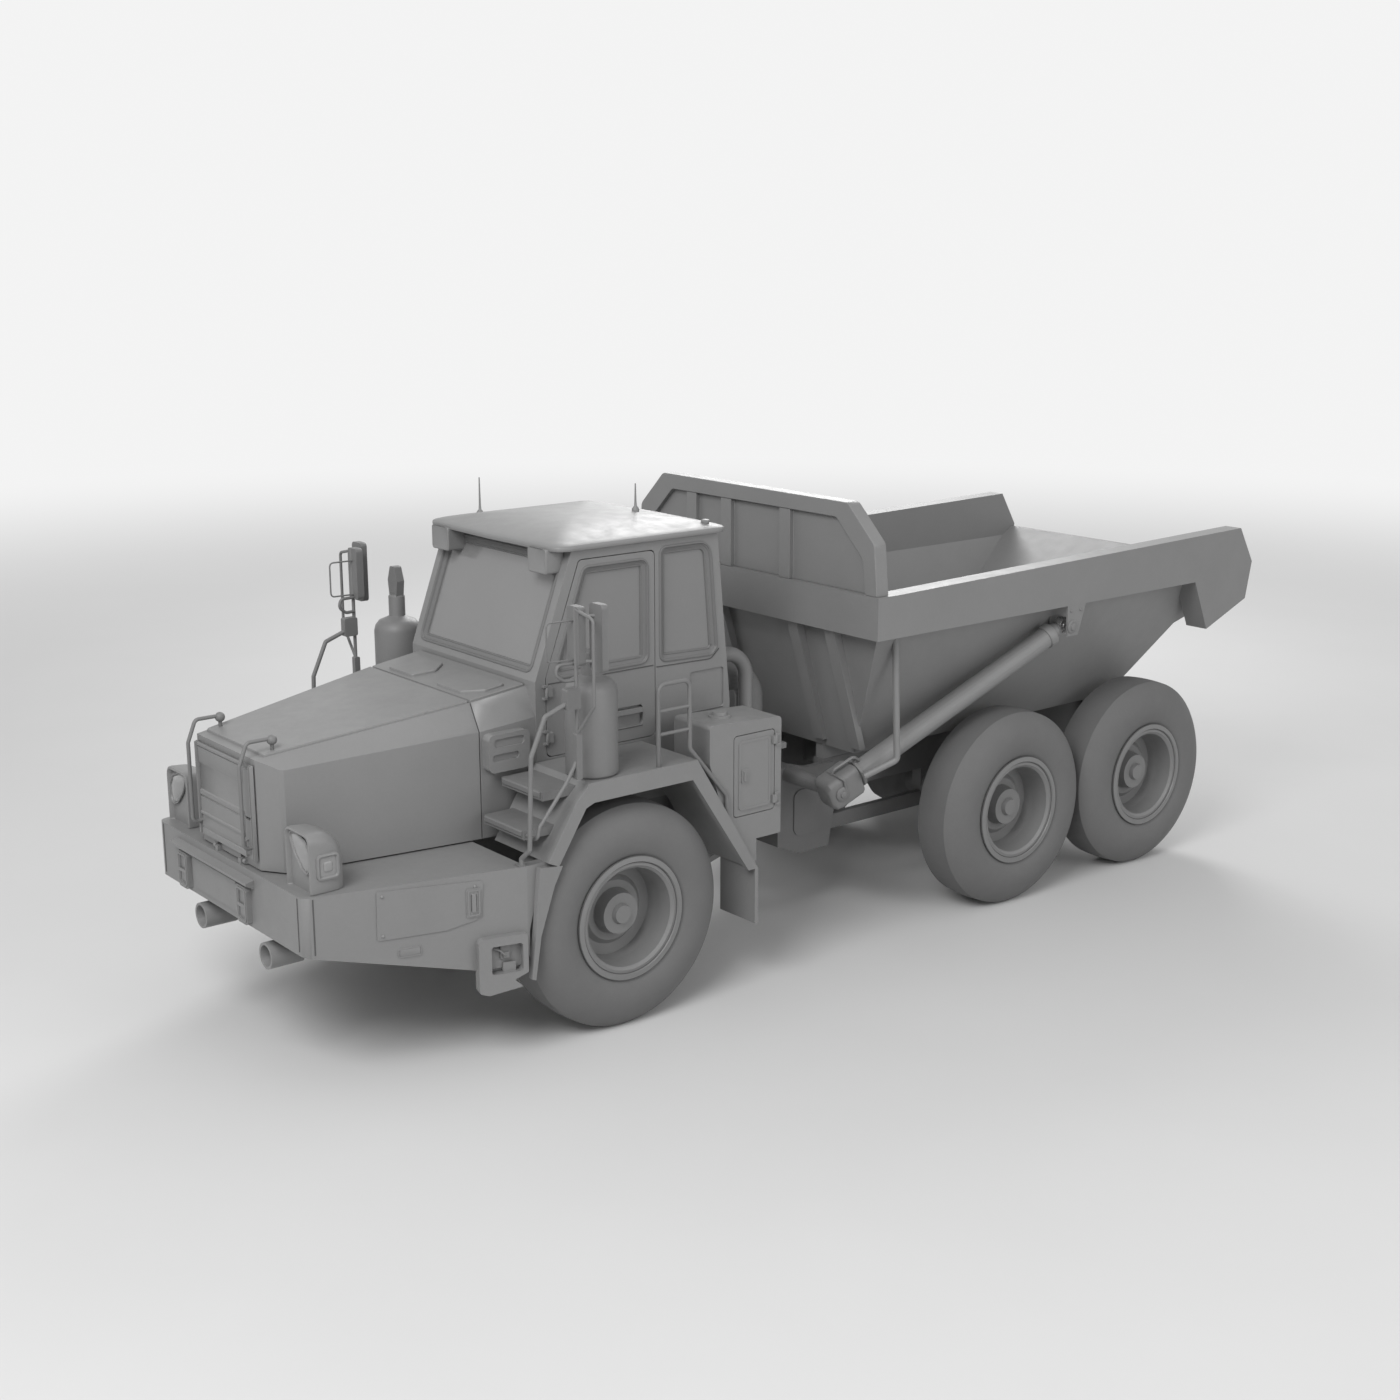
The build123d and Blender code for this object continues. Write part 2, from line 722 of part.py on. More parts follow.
lip_under = (
    (flap_y - 90, flap_z),
    (fender_tail_y - 40, deck_z - lip_depth),
    (fender_head_y + 34, deck_z - lip_depth),
    (fender_knee_y + 80, deck_z - 165),
    (fender_leg_y + 85, bumper_top_z - 40),
)
wing = (
    (bumper_rear_y + 75, 1330),
    (bumper_rear_y + 255, 1310),
    (bumper_rear_y + 185, 1180),
    (bumper_rear_y + 73, 860),
    (bumper_rear_y + 25, 563),
    (bumper_rear_y - 5, 576),
    (bumper_rear_y + 30, 872),
)


def by_tyre(z):
    # just ahead of the front tyre at this height
    return front_axle_y - math.sqrt((tyre_radius + tyre_room) ** 2 - (z - tyre_radius) ** 2)


wedge = (
    (fender_leg_y + 45, bumper_top_z + 40),
    arch[0],
    (bumper_rear_y, bumper_top_z),
    (bumper_rear_y, bumper_tail_low_z + 60),
    (by_tyre(700), 700),
    (by_tyre(900), 900),
    (by_tyre(1100), 1100),
    (by_tyre(1320), 1320),
)
with BuildPart() as front_fenders:
    side_prism(arch + arch_under, fender_in_x, fender_out_x)
    side_prism(arch + lip_under, lip_in_x, fender_out_x)
    side_prism(wedge, wedge_in_x, wing_in_x)
    side_prism(wing, wing_in_x, fender_out_x)
    box(fender_out_x - 390, fender_out_x, flap_y - 30, flap_y, flap_z - 415, flap_z + 15)
    mirror(about=Plane.YZ)
save("front_fenders", front_fenders)

# side boxes behind the fenders, the left one with a hinged door over an open compartment
box_cap_y = -1240
box_corner = 30
box_recess = 20
door_thick = 24
box_door_leaf = block(box_door_front_y + door_gap, box_door_rear_y - door_gap, box_door_low_z + door_gap,
                      box_door_high_z - door_gap)
with BuildPart() as side_boxes:
    side_prism(((-1390, 1440), (box_front_y, 1750), (box_front_y, box_top_z), (box_rear_y, box_top_z - 30),
                (box_rear_y, box_low_z + 40), (-1060, box_low_z + 40), (-1060, 960), (-1075, 960)),
               box_in_x, box_out_x, radius=(0, 0, box_corner, box_corner, 0, 0, 0, 0))
    upright((box_in_x + box_out_x) / 2, box_cap_y, box_top_z - 60, box_top_z + 30, 55)
    upright((box_in_x + box_out_x) / 2, box_cap_y, box_top_z - 60, box_top_z + 6, 80)
    mirror(about=Plane.YZ)
    side_prism(block(box_door_front_y, box_door_rear_y, box_door_low_z, box_door_high_z), -box_out_x - 8,
               -box_out_x + 10, radius=box_corner)
    side_prism(block(box_door_front_y + box_recess, box_door_rear_y - box_recess, box_door_low_z + box_recess,
                     box_door_high_z - box_recess), box_in_x + 40, box_out_x + 10, Mode.SUBTRACT, 12)
    side_prism(block(box_door_front_y, box_door_rear_y, box_door_low_z, box_door_high_z), box_out_x - 30,
               box_out_x + 10, Mode.SUBTRACT, box_corner)
    for z in box_hinge_z:
        upright(box_hinge_x, box_hinge_y, z - box_hinge_half, z + box_hinge_half, 6)
        for z0 in (z - box_hinge_half, z + box_hinge_half - hinge_leaf):
            box(box_out_x - 5, box_hinge_x + 10, box_hinge_y, box_hinge_y + 30, z0, z0 + hinge_leaf)
save("side_boxes", side_boxes)

leaf_half = box_hinge_half - hinge_leaf - 0.5
with BuildPart() as box_door:
    side_prism(box_door_leaf, box_out_x - door_thick, box_out_x, radius=box_corner - door_gap)
    side_prism(block(box_door_front_y + 46, box_door_rear_y - 46, box_door_low_z + 46, box_door_high_z - 46),
               box_out_x, box_out_x + 8, radius=box_corner)
    side_prism(block(box_door_front_y + 62, box_door_rear_y - 62, box_door_low_z + 62, box_door_high_z - 62),
               box_out_x + 4, box_out_x + 12, Mode.SUBTRACT, box_corner - 10)
    side_prism(block(box_door_front_y + 66, box_door_front_y + 130, 1570, 1670), box_out_x, box_out_x + 14,
               radius=10)
    side_prism(block(box_door_front_y + 78, box_door_front_y + 94, 1585, 1655), box_out_x, box_out_x + 30)
    for z in box_hinge_z:
        box(box_out_x - 10, box_hinge_x + 8, box_hinge_y - 30, box_hinge_y, z - leaf_half, z + leaf_half)
        upright(box_hinge_x, box_hinge_y, z - leaf_half, z + leaf_half, 11)
        upright(box_hinge_x, box_hinge_y, z - leaf_half - 10, z + leaf_half + 10, 6 + pin_gap, Mode.SUBTRACT)
save("box_door", box_door)

# cab: hollow shell with rounded window openings, one hinged door on the left
cab_head_y = cab_rear_y - cab_rear_lean
cab_side = (
    (cab_front_y, cab_floor_z),
    (cab_front_y, belt_z),
    (windscreen_top_y, roof_low_z),
    (cab_head_y, roof_low_z),
    (cab_rear_y, cab_lean_z),
    (cab_rear_y, cab_floor_z),
)
cab_inner = (
    (cab_front_y + cab_wall, cab_floor_z + cab_wall),
    (cab_front_y + cab_wall, belt_z + 10),
    (windscreen_top_y + cab_wall - 5, roof_low_z + 10),
    (cab_head_y - cab_wall, roof_low_z + 10),
    (cab_rear_y - cab_wall, cab_lean_z),
    (cab_rear_y - cab_wall, cab_floor_z + cab_wall),
)
door_outline = (
    (door_front_y, door_low_z),
    (door_front_y, belt_z + 20),
    (-2150, door_top_z),
    (door_rear_y, door_top_z),
    (door_rear_y, door_low_z),
)
door_window = (
    (-2370, belt_z + 10),
    (-2110, door_top_z - 60),
    (door_rear_y - 70, door_top_z - 60),
    (door_rear_y - 70, belt_z + 10),
)
rear_window = (
    (door_rear_y + 60, belt_z),
    (door_rear_y + 60, door_top_z + 5),
    (-1010, door_top_z + 5),
    (-945, belt_z + 30),
    (-985, belt_z - 15),
)
rear_window_radii = (50, 50, 110, 20, 30)
door_corner = 40
screen_inset = 60
rear_pane_half = cab_half - 130
rear_pane_high_z = door_top_z - 25
recess = block(cab_rear_y - 375, cab_rear_y - 60, 1960, 2260)
grip_front_y = -1876
grip_rear_y = -1614
grip_low_z = 1945
grip_high_z = 2095
glass_set = (cab_wall + glass) / 2


def grown(points, gap):
    # the outline pushed outwards by the gap on each side
    ys = [p[0] for p in points]
    zs = [p[1] for p in points]
    cy, cz = (min(ys) + max(ys)) / 2, (min(zs) + max(zs)) / 2
    rows = []
    for y, z in points:
        rows.append((y + math.copysign(gap, y - cy), z + math.copysign(gap, z - cz)))
    return tuple(rows)


def end_pane(foot, head, facing, half, z0, z1, inner, outer, mode=Mode.ADD):
    # rounded pane on the leaning wall through foot and head (y, z), facing 1 backwards or -1 forwards
    lean = (head[0] - foot[0]) / (head[1] - foot[1])
    along = math.hypot(1, lean)
    wall = Plane(origin=(0, foot[0], foot[1]), x_dir=(-facing, 0, 0), z_dir=(0, facing, -facing * lean))
    carried(wall.offset(inner), block(-half, half, (z0 - foot[1]) * along, (z1 - foot[1]) * along),
            outer - inner,
            window_corner, mode)


def windscreen(inner, outer, mode=Mode.ADD):
    end_pane(cab_side[1], cab_side[2], -1, cab_half - pillar, belt_z + screen_inset,
             roof_low_z - screen_inset,
             inner, outer, mode)


def back_pane(inner, outer, mode=Mode.ADD):
    end_pane(cab_side[4], cab_side[3], 1, rear_pane_half, belt_z, rear_pane_high_z, inner, outer, mode)


with BuildPart() as cab_shell:
    side_prism(cab_side, -cab_half, cab_half)
    side_prism(cab_inner, -cab_half + cab_wall, cab_half - cab_wall, Mode.SUBTRACT)
    side_prism(grown(door_outline, door_gap), cab_half - cab_wall - 10, cab_half + 10, Mode.SUBTRACT,
               door_corner)
    side_prism(rear_window, -cab_half - 10, cab_half + 10, Mode.SUBTRACT, rear_window_radii)
    side_prism(door_window, -cab_half - 10, -cab_half + cab_wall + 10, Mode.SUBTRACT, window_corner)
    windscreen(-cab_wall - 60, 60, Mode.SUBTRACT)
    back_pane(-cab_wall - 60, 60, Mode.SUBTRACT)
    for side in (-1, 1):
        side_prism(recess, side * (cab_half - 12), side * (cab_half + 10), Mode.SUBTRACT, 25)
        box(side * 370, side * 490, -2300, cab_rear_y - 90, rail_top_z, cab_floor_z)
    for z in door_hinge_z:
        upright(door_hinge_x, door_hinge_y, z - door_hinge_half, z + door_hinge_half, 7)
        for z0 in (z - door_hinge_half, z + door_hinge_half - hinge_leaf):
            box(cab_half - 5, door_hinge_x + 10, door_hinge_y - 30, door_hinge_y, z0, z0 + hinge_leaf)
save("cab_shell", cab_shell)

door_leaf_half = door_hinge_half - hinge_leaf - 0.5
with BuildPart() as cab_door:
    side_prism(door_outline, cab_half - cab_wall, cab_half, radius=door_corner)
    side_prism(door_window, cab_half - cab_wall - 10, cab_half + 10, Mode.SUBTRACT, window_corner)
    side_prism(block(grip_front_y, grip_rear_y, grip_low_z, grip_high_z), cab_half - 30, cab_half + 10,
               Mode.SUBTRACT, 30)
    side_prism(block(grip_front_y + 30, grip_rear_y - 10, grip_high_z - 55, grip_high_z - 20), cab_half - 40,
               cab_half + 12, radius=8)
    for z in door_hinge_z:
        box(cab_half - 10, door_hinge_x + 9, door_hinge_y, door_hinge_y + 45, z - door_leaf_half,
            z + door_leaf_half)
        upright(door_hinge_x, door_hinge_y, z - door_leaf_half, z + door_leaf_half, 12)
        upright(door_hinge_x, door_hinge_y, z - door_leaf_half - 10, z + door_leaf_half + 10, 7 + pin_gap,
                Mode.SUBTRACT)
save("cab_door", cab_door)

with BuildPart() as door_glass:
    side_prism(door_window, cab_half - glass_set, cab_half - glass_set + glass, radius=window_corner)
save("door_glass", door_glass)

with BuildPart() as cab_glass:
    for side in (-1, 1):
        side_prism(rear_window, side * (cab_half - glass_set), side * (cab_half - glass_set + glass),
                   radius=rear_window_radii)
    side_prism(door_window, -cab_half + glass_set, -cab_half + glass_set - glass, radius=window_corner)
    windscreen(-glass_set, -glass_set + glass)
    back_pane(-glass_set, -glass_set + glass)
save("cab_glass", cab_glass)

# roof: a thin edge under a softly domed crown, front lamp pods, a knob and two aerials
roof_edge_z = roof_low_z + roof_edge
roof_top_z = roof_edge_z + roof_crown
roof_corner = 110
roof_lap = 40
roof_cut = 0.3 * roof_corner
roof_plan = (
    (roof_half - roof_corner, roof_front_y),
    (roof_half - roof_cut, roof_front_y + roof_cut),
    (roof_half, roof_front_y + roof_corner),
    (roof_half, roof_rear_y - roof_corner),
    (roof_half - roof_cut, roof_rear_y - roof_cut),
    (roof_half - roof_corner, roof_rear_y),
    (-roof_half + roof_corner, roof_rear_y),
    (-roof_half + roof_cut, roof_rear_y - roof_cut),
    (-roof_half, roof_rear_y - roof_corner),
    (-roof_half, roof_front_y + roof_corner),
    (-roof_half + roof_cut, roof_front_y + roof_cut),
    (-roof_half + roof_corner, roof_front_y),
)
roof_pod_x = cab_half - 180


def domed(plane, start, end, crest_z, amount, mode=Mode.ADD):
    # slab whose upper side is one arc from start to end
    with BuildSketch(plane) as outline:
        with BuildLine():
            Polyline((end, roof_edge_z), (end, roof_low_z), (start, roof_low_z), (start, roof_edge_z))
            ThreePointArc((start, roof_edge_z), ((start + end) / 2, crest_z), (end, roof_edge_z))
        make_face()
    extrude(outline.sketch, amount=amount, mode=mode)


with BuildPart() as cab_roof:
    domed(Plane.XZ.offset(-roof_front_y), -roof_half - roof_lap, roof_half + roof_lap, roof_top_z,
          roof_front_y - roof_rear_y)
    domed(Plane.YZ.offset(-roof_half), roof_front_y - roof_lap, roof_rear_y + roof_lap, roof_top_z + 25,
          2 * roof_half, Mode.INTERSECT)
    plan_prism(roof_plan, roof_low_z, roof_top_z, Mode.INTERSECT)
    for side in (-1, 1):
        x0, x1 = side * roof_pod_x - 110, side * roof_pod_x + 110
        front_prism(block(x0, x1, roof_low_z - 95, roof_low_z + 20), roof_front_y + 5, roof_front_y + 100,
                    radius=18)
        front_prism(block(x0 + 30, x1 - 30, roof_low_z - 80, roof_low_z - 15), roof_front_y,
                    roof_front_y + 20,
                    radius=14)
    upright(roof_half - 120, roof_rear_y - 150, roof_low_z + 10, roof_edge_z + 60, 26)
    upright(-690, -1980, roof_low_z + 10, roof_low_z + 330, 7)
    upright(160, -1180, roof_low_z + 10, roof_top_z + 190, 7)
    upright(160, -1180, roof_low_z + 10, roof_top_z + 20, 30)
save("cab_roof", cab_roof)

# seat, console and steering wheel
seat_y = -1410
seat_z = 1900
wheel_rim_y = -2085
wheel_rim_z = 2295
with BuildPart() as cab_interior:
    box(-260, 260, seat_y - 230, seat_y + 230, cab_floor_z + cab_wall, seat_z)
    box(-250, 250, seat_y - 250, seat_y + 250, seat_z, seat_z + 100)
    side_prism(((seat_y + 190, seat_z + 90), (seat_y + 290, seat_z + 90), (seat_y + 400, seat_z + 740),
                (seat_y + 320, seat_z + 740)), -230, 230)
    side_prism(((cab_front_y + cab_wall, cab_floor_z + cab_wall), (cab_front_y + cab_wall, belt_z - 70),
                (cab_front_y + 200, belt_z - 90), (cab_front_y + 280, belt_z - 270),
                (cab_front_y + 200, cab_floor_z + cab_wall)),
               -cab_half + cab_wall + 40, cab_half - cab_wall - 40)
    rod_between((0, cab_front_y + 230, wheel_rim_z - 235), (0, wheel_rim_y - 5, wheel_rim_z - 5), 30)
    with Locations(Plane(origin=(0, wheel_rim_y, wheel_rim_z), z_dir=(0, 210, 230))):
        Torus(190, 16)
        Box(370, 30, 14)
        Box(30, 370, 14)
save("cab_interior", cab_interior)


def on_leg(z):
    # the fender's front face at this height
    foot, knee, head = arch[0], arch[1], arch[2]
    a, b = (foot, knee) if z < knee[1] else (knee, head)
    return a[0] + (b[0] - a[0]) * (z - a[1]) / (b[1] - a[1])


# steps ahead of the fender, and a grab ladder with a rail down the fender's back
slope_y = fender_tail_y + 289
slope_z = deck_z - 289 * (deck_z - flap_z) / (flap_y - fender_tail_y)
with BuildPart() as access_steps:
    for front_y, top_z in steps:
        side_prism(((front_y, top_z - 60), (on_leg(top_z - 60), top_z - 60), (on_leg(top_z), top_z),
                    (front_y, top_z)), step_in_x, step_out_x)
        side_prism(((front_y - 12, top_z - 36), (front_y, top_z - 48), (front_y, top_z),
                    (front_y - 12, top_z - 8)),
                   step_in_x + 20, step_out_x - 20)
    bent_tube(((grab_x, grab_front_y, deck_z), (grab_x, grab_front_y, grab_top_z),
               (grab_x, grab_rear_y, grab_top_z), (grab_x, grab_rear_y, deck_z + 80),
               (grab_x, slope_y, slope_z + 150), (grab_x, slope_y, slope_z - 20)), arm_radius, 60)
    for z in grab_bar_z:
        rod_between((grab_x, grab_front_y, z), (grab_x, grab_rear_y, z), 12)
    side_prism(arch, grab_x - 30, grab_x + 30, Mode.SUBTRACT)
    mirror(about=Plane.YZ)
save("access_steps", access_steps)

# mirrors: two on each side, carried by an arm off the bumper's corner and a rail from the lower step
foot_x = bumper_rear_half - 26
foot_y = bumper_rear_y - 24
clamp_y = -2650
clamp_z = 2430
glass_low_z = 2640
glass_high_z = 3030
with BuildPart() as mirrors:
    box(foot_x - 34, foot_x + 16, foot_y - 30, foot_y + 20, bumper_top_z, bumper_top_z + 14)
    bent_tube(((foot_x, foot_y, bumper_top_z + 2), (foot_x, foot_y, bumper_top_z + 50),
               (mirror_arm_x, foot_y + 20, bumper_top_z + 120), (mirror_arm_x, foot_y + 45, 2090),
               (mirror_arm_x, clamp_y - 250, 2340), (mirror_arm_x, clamp_y, clamp_z)), arm_radius, 22)
    side_prism(block(clamp_y - 97, clamp_y + 12, clamp_z - 70, clamp_z + 70), mirror_arm_x - 30,
               mirror_arm_x + 30,
               radius=14)
    upright(mirror_arm_x, clamp_y, 1890, glass_high_z - 5, 13)
    side_prism(block(clamp_y - 20, clamp_y + 24, 1880, 2190), mirror_arm_x - 22, mirror_arm_x + 22, radius=10)
    front_prism(block(mirror_arm_x - 86, mirror_arm_x + 44, glass_low_z, glass_high_z), clamp_y - 6,
                clamp_y + 50,
                radius=30)
    front_prism(block(mirror_arm_x + 20, mirror_out_x - 24, glass_low_z - 40, glass_high_z + 20),
                clamp_y + 96,
                clamp_y + 146, radius=30)
    for z in (glass_low_z + 30, glass_high_z - 60):
        rod_between((mirror_arm_x, clamp_y, z), (mirror_arm_x + 80, clamp_y + 110, z), 11)
    bent_tube(((mirror_arm_x, clamp_y, glass_high_z - 20), (mirror_out_x, clamp_y + 8, glass_high_z - 60),
               (mirror_out_x, clamp_y + 8, clamp_z - 30), (mirror_arm_x, clamp_y, clamp_z - 250)), 11, 35)
    bent_tube(((mirror_arm_x, clamp_y + 4, 2020), (mirror_arm_x, clamp_y - 95, 1864),
               (mirror_arm_x, clamp_y - 310, steps[0][1] + 50), (mirror_arm_x, clamp_y - 330,
                                                                 steps[0][1] - 30),
               (step_out_x, clamp_y - 330, steps[0][1] - 30)), 13, (60, 20, 30))
    mirror(about=Plane.YZ)
save("mirrors", mirrors)

# canisters on the decks, the right one with a flattened spout
can_neck = 62
can_profile = (
    (0, 0),
    (can_radius - 14, 0),
    (can_radius, 16),
    (can_radius, can_shoulder),
    (can_radius - 10, can_shoulder + 40),
    (can_radius - 38, can_shoulder + 76),
    (can_neck + 20, can_shoulder + 100),
    (can_neck, can_shoulder + 112),
    (can_neck, can_shoulder + 262),
    (can_neck - 14, can_shoulder + 276),
    (0, can_shoulder + 276),
)
spout_low_z = deck_z + can_shoulder + 250
spout = (
    (-can_x - 50, spout_low_z),
    (-can_x + 50, spout_low_z),
    (-can_x + 68, spout_low_z + 130),
    (-can_x + 30, spout_low_z + 240),
    (-can_x - 30, spout_low_z + 240),
    (-can_x - 68, spout_low_z + 130),
)
with BuildPart() as canisters:
    for x in (-can_x, can_x):
        with BuildSketch(Plane(origin=(x, can_y, deck_z), x_dir=(1, 0, 0), z_dir=(0, -1, 0))) as half:
            with BuildLine():
                Polyline(*can_profile, close=True)
            make_face()
        revolve(half.sketch, axis=Axis((x, can_y, deck_z), (0, 0, 1)), revolution_arc=360)
    front_prism(spout, can_y - 32, can_y + 32, radius=20)
save("canisters", canisters)

# two thick bent ducts from the cab's back down to a shelf
with BuildPart() as cab_ducts:
    for x, reach_y, head_z, radius in ducts:
        bent_tube(((x, cab_rear_y - 150, head_z), (x, reach_y, head_z), (x, reach_y, duct_shelf_z)), radius,
                  200)
        upright(x, reach_y, duct_shelf_z, duct_shelf_z + 60, radius + 14)
    box(300, 720, cab_rear_y, -170, duct_shelf_z - 40, duct_shelf_z + 5)
    side_prism(((cab_rear_y - 690, 1400), (cab_rear_y, 1400), (cab_rear_y, cab_lean_z),
                (cab_head_y, roof_low_z),
                (cab_rear_y - 690, roof_low_z)), 200, 800, Mode.SUBTRACT)
save("cab_ducts", cab_ducts)

# hitch knuckle: upright pivot barrel and a round flange with the roll shaft
steer_lug_round = 45
with BuildPart() as hitch_knuckle:
    upright(0, pivot_y, hitch_low_z + hitch_plate + pin_gap, hitch_top_z - hitch_plate - pin_gap,
            knuckle_radius)
    rod_between((0, pivot_y, roll_z), (0, flange_y, roll_z), knuckle_radius - 10)
    rod_between((0, knuckle_front_y, roll_z), (0, flange_y, roll_z), flange_radius)
    rod_between((0, flange_y, roll_z), (0, 200, roll_z), roll_shaft_radius)
    for side in (-1, 1):
        plan_prism(((0, pivot_y - 70), (side * steer_rear.X, steer_rear.Y - steer_lug_round),
                    (side * steer_rear.X, steer_rear.Y + steer_lug_round), (0, pivot_y + 110)),
                   steer_lug_low_z, steer_lug_high_z)
        upright(side * steer_rear.X, steer_rear.Y, steer_lug_low_z, steer_lug_high_z, steer_lug_round)
save("hitch_knuckle", hitch_knuckle)

# rear frame: a hollow neck, two rails, cross beams and the hoist trunnions
neck_wall = 60
trunnion_radius = 62
with BuildPart() as rear_frame:
    side_prism(((neck_front_y, neck_low_z + 95), (neck_front_y, neck_top_z), (neck_rear_y + 60, neck_top_z),
                (neck_rear_y + 60, 800), (neck_rear_y, neck_low_z), (neck_front_y + 220, neck_low_z)),
               -neck_half, neck_half)
    box(-neck_half + neck_wall, neck_half - neck_wall, neck_front_y + 260, neck_rear_y + 80, neck_low_z - 20,
        neck_top_z + 20, Mode.SUBTRACT)
    for side in (-1, 1):
        box(side * rail_in_x, side * rail_out_x, neck_rear_y - 60, rear_rail_end_y, rear_rail_low_z,
            rear_rail_top_z)
        side_prism(((150, neck_low_z + 150), (430, neck_low_z + 150), (430, neck_top_z - 170),
                    (150, neck_top_z - 170)),
                   side * neck_half, side * (neck_half + 12), radius=70)
    for beam_y in (960, 2400, rear_rail_end_y - 180):
        box(-rail_in_x, rail_in_x, beam_y, beam_y + 140, rear_rail_low_z + 30, rear_rail_top_z - 30)
    for side in (-1, 1):
        cross_rod(side * (neck_half - 20), side * (hoist_low.X - hoist_stub_room), hoist_low.Y, hoist_low.Z,
                  trunnion_radius)
        cross_rod(side * (neck_half - 20), side * (hoist_low.X + 60), hoist_low.Y, hoist_low.Z,
                  hoist_pin_radius)
        side_prism(((neck_front_y, neck_top_z - 200), (neck_front_y, neck_top_z),
                    (20, hoist_low.Z + trunnion_radius), (160, hoist_low.Z + trunnion_radius),
                    (300, neck_top_z), (300, neck_top_z - 200)), side * (neck_half - neck_wall),
                    side * neck_half)
    rod_between((0, neck_front_y - 20, roll_z), (0, neck_front_y + 280, roll_z), roll_shaft_radius + pin_gap,
                Mode.SUBTRACT)
    for side in (-1, 1):
        cross_rod(side * rail_out_x, side * (rail_out_x + 70), body_pivot_y, body_pivot_z, body_pivot_radius)
save("rear_frame", rear_frame)

# dump body: sloping walls, level floor, rising tail, box rails, front ledge, hinge and hoist ears
mouth_z = 3000
far_y = 5000
spill_z = 2500
floor_end_y = 2780
leg_top_z = 1950
hoist_ear_thick = 16
outer_section = ((-floor_half, floor_z), (floor_half, floor_z), (wall_half, wall_top_z),
                 (wall_half, mouth_z - 100),
                 (-wall_half, mouth_z - 100), (-wall_half, wall_top_z))
inner_section = ((-floor_half + 30, floor_z + floor_plate), (floor_half - 30, floor_z + floor_plate),
                 (body_rail_in_x, wall_top_z), (body_rail_in_x, mouth_z),
                 (-body_rail_in_x, mouth_z), (-body_rail_in_x, wall_top_z))
outer_side = ((body_wall_foot_y, floor_z), (tail_rise_y, floor_z), (tail_slope_y, tail_low_z),
              (body_tail_y - 60, 2200), (body_tail_y, spill_z + 20), (body_tail_y, spill_z + 24),
              (body_wall_head_y, spill_z + 24), (body_wall_head_y, wall_top_z + 15))
inner_side = ((body_wall_foot_y + 35, floor_z + floor_plate), (floor_end_y, floor_z + floor_plate),
              (body_tail_y - 45, spill_z), (body_tail_y + 195, spill_z), (body_tail_y + 195, mouth_z),
              (body_wall_head_y + 30, mouth_z), (body_wall_head_y + 30, wall_top_z + 15))
body_rail_side = ((body_front_y, body_rail_low_z), (body_front_y, body_rail_front_top_z),
                  (rail_tail_y, body_rail_rear_top_z), (body_tail_y, spill_z + 22), (body_tail_y - 65, 2200),
                  (tail_slope_y, tail_low_z + 3), (tail_slope_y - 195, body_rail_low_z))
with BuildPart() as body_core:
    front_prism(inner_section, 0, far_y)
    side_prism(inner_side, -2 * rail_half, 2 * rail_half, Mode.INTERSECT)
with BuildPart() as dump_body:
    front_prism(outer_section, 0, far_y)
    side_prism(outer_side, -2 * rail_half, 2 * rail_half, Mode.INTERSECT)
    for side in (-1, 1):
        side_prism(body_rail_side, side * (body_rail_in_x - 50), side * rail_half)
    box(-rail_half, rail_half, body_front_y, body_wall_head_y + 60, wall_top_z, body_rail_front_top_z + 5)
    for side in (-1, 1):
        side_prism(((tail_slope_y - 195, wall_top_z - 25), (tail_slope_y + 2, tail_low_z - 30),
                    (3400, tail_low_z - 30), (3400, wall_top_z - 25)), side * (wall_half + 15),
                    side * (rail_half + 40),
                   Mode.SUBTRACT)
    for x in (-450, 450, -870, 870):
        side_prism(((body_wall_foot_y, floor_z + 60), (body_wall_head_y, wall_top_z),
                    (body_wall_head_y - 70, wall_top_z), (body_wall_foot_y - 60, floor_z + 60)), x - 55,
                    x + 55)
    for side in (-1, 1):
        box(side * (rail_in_x + 5), side * (rail_out_x - 5), body_wall_foot_y + 20, 3500,
            rear_rail_top_z + pin_gap,
            floor_z)
        side_prism(((body_pivot_y - 190, floor_z + 80), (body_pivot_y - 100, body_pivot_z - 60),
                    (body_pivot_y + 100, body_pivot_z - 60), (body_pivot_y + 190, leg_top_z)),
                   side * (rail_out_x + running_gap), side * (rail_out_x + 90))
        cross_rod(side * rail_out_x, side * (rail_out_x + 100), body_pivot_y, body_pivot_z,
                  body_pivot_radius + pin_gap, Mode.SUBTRACT)
        for x in (hoist_top.X - 100, hoist_top.X + 82):
            side_prism(((hoist_top.Y - 62, body_rail_low_z), (hoist_top.Y + 160, body_rail_low_z),
                        (hoist_top.Y + 75, hoist_top.Z - 75), (hoist_top.Y - 50, hoist_top.Z - 75)),
                       side * x, side * (x + hoist_ear_thick))
    add(body_core.part, mode=Mode.SUBTRACT)
save("dump_body", dump_body)

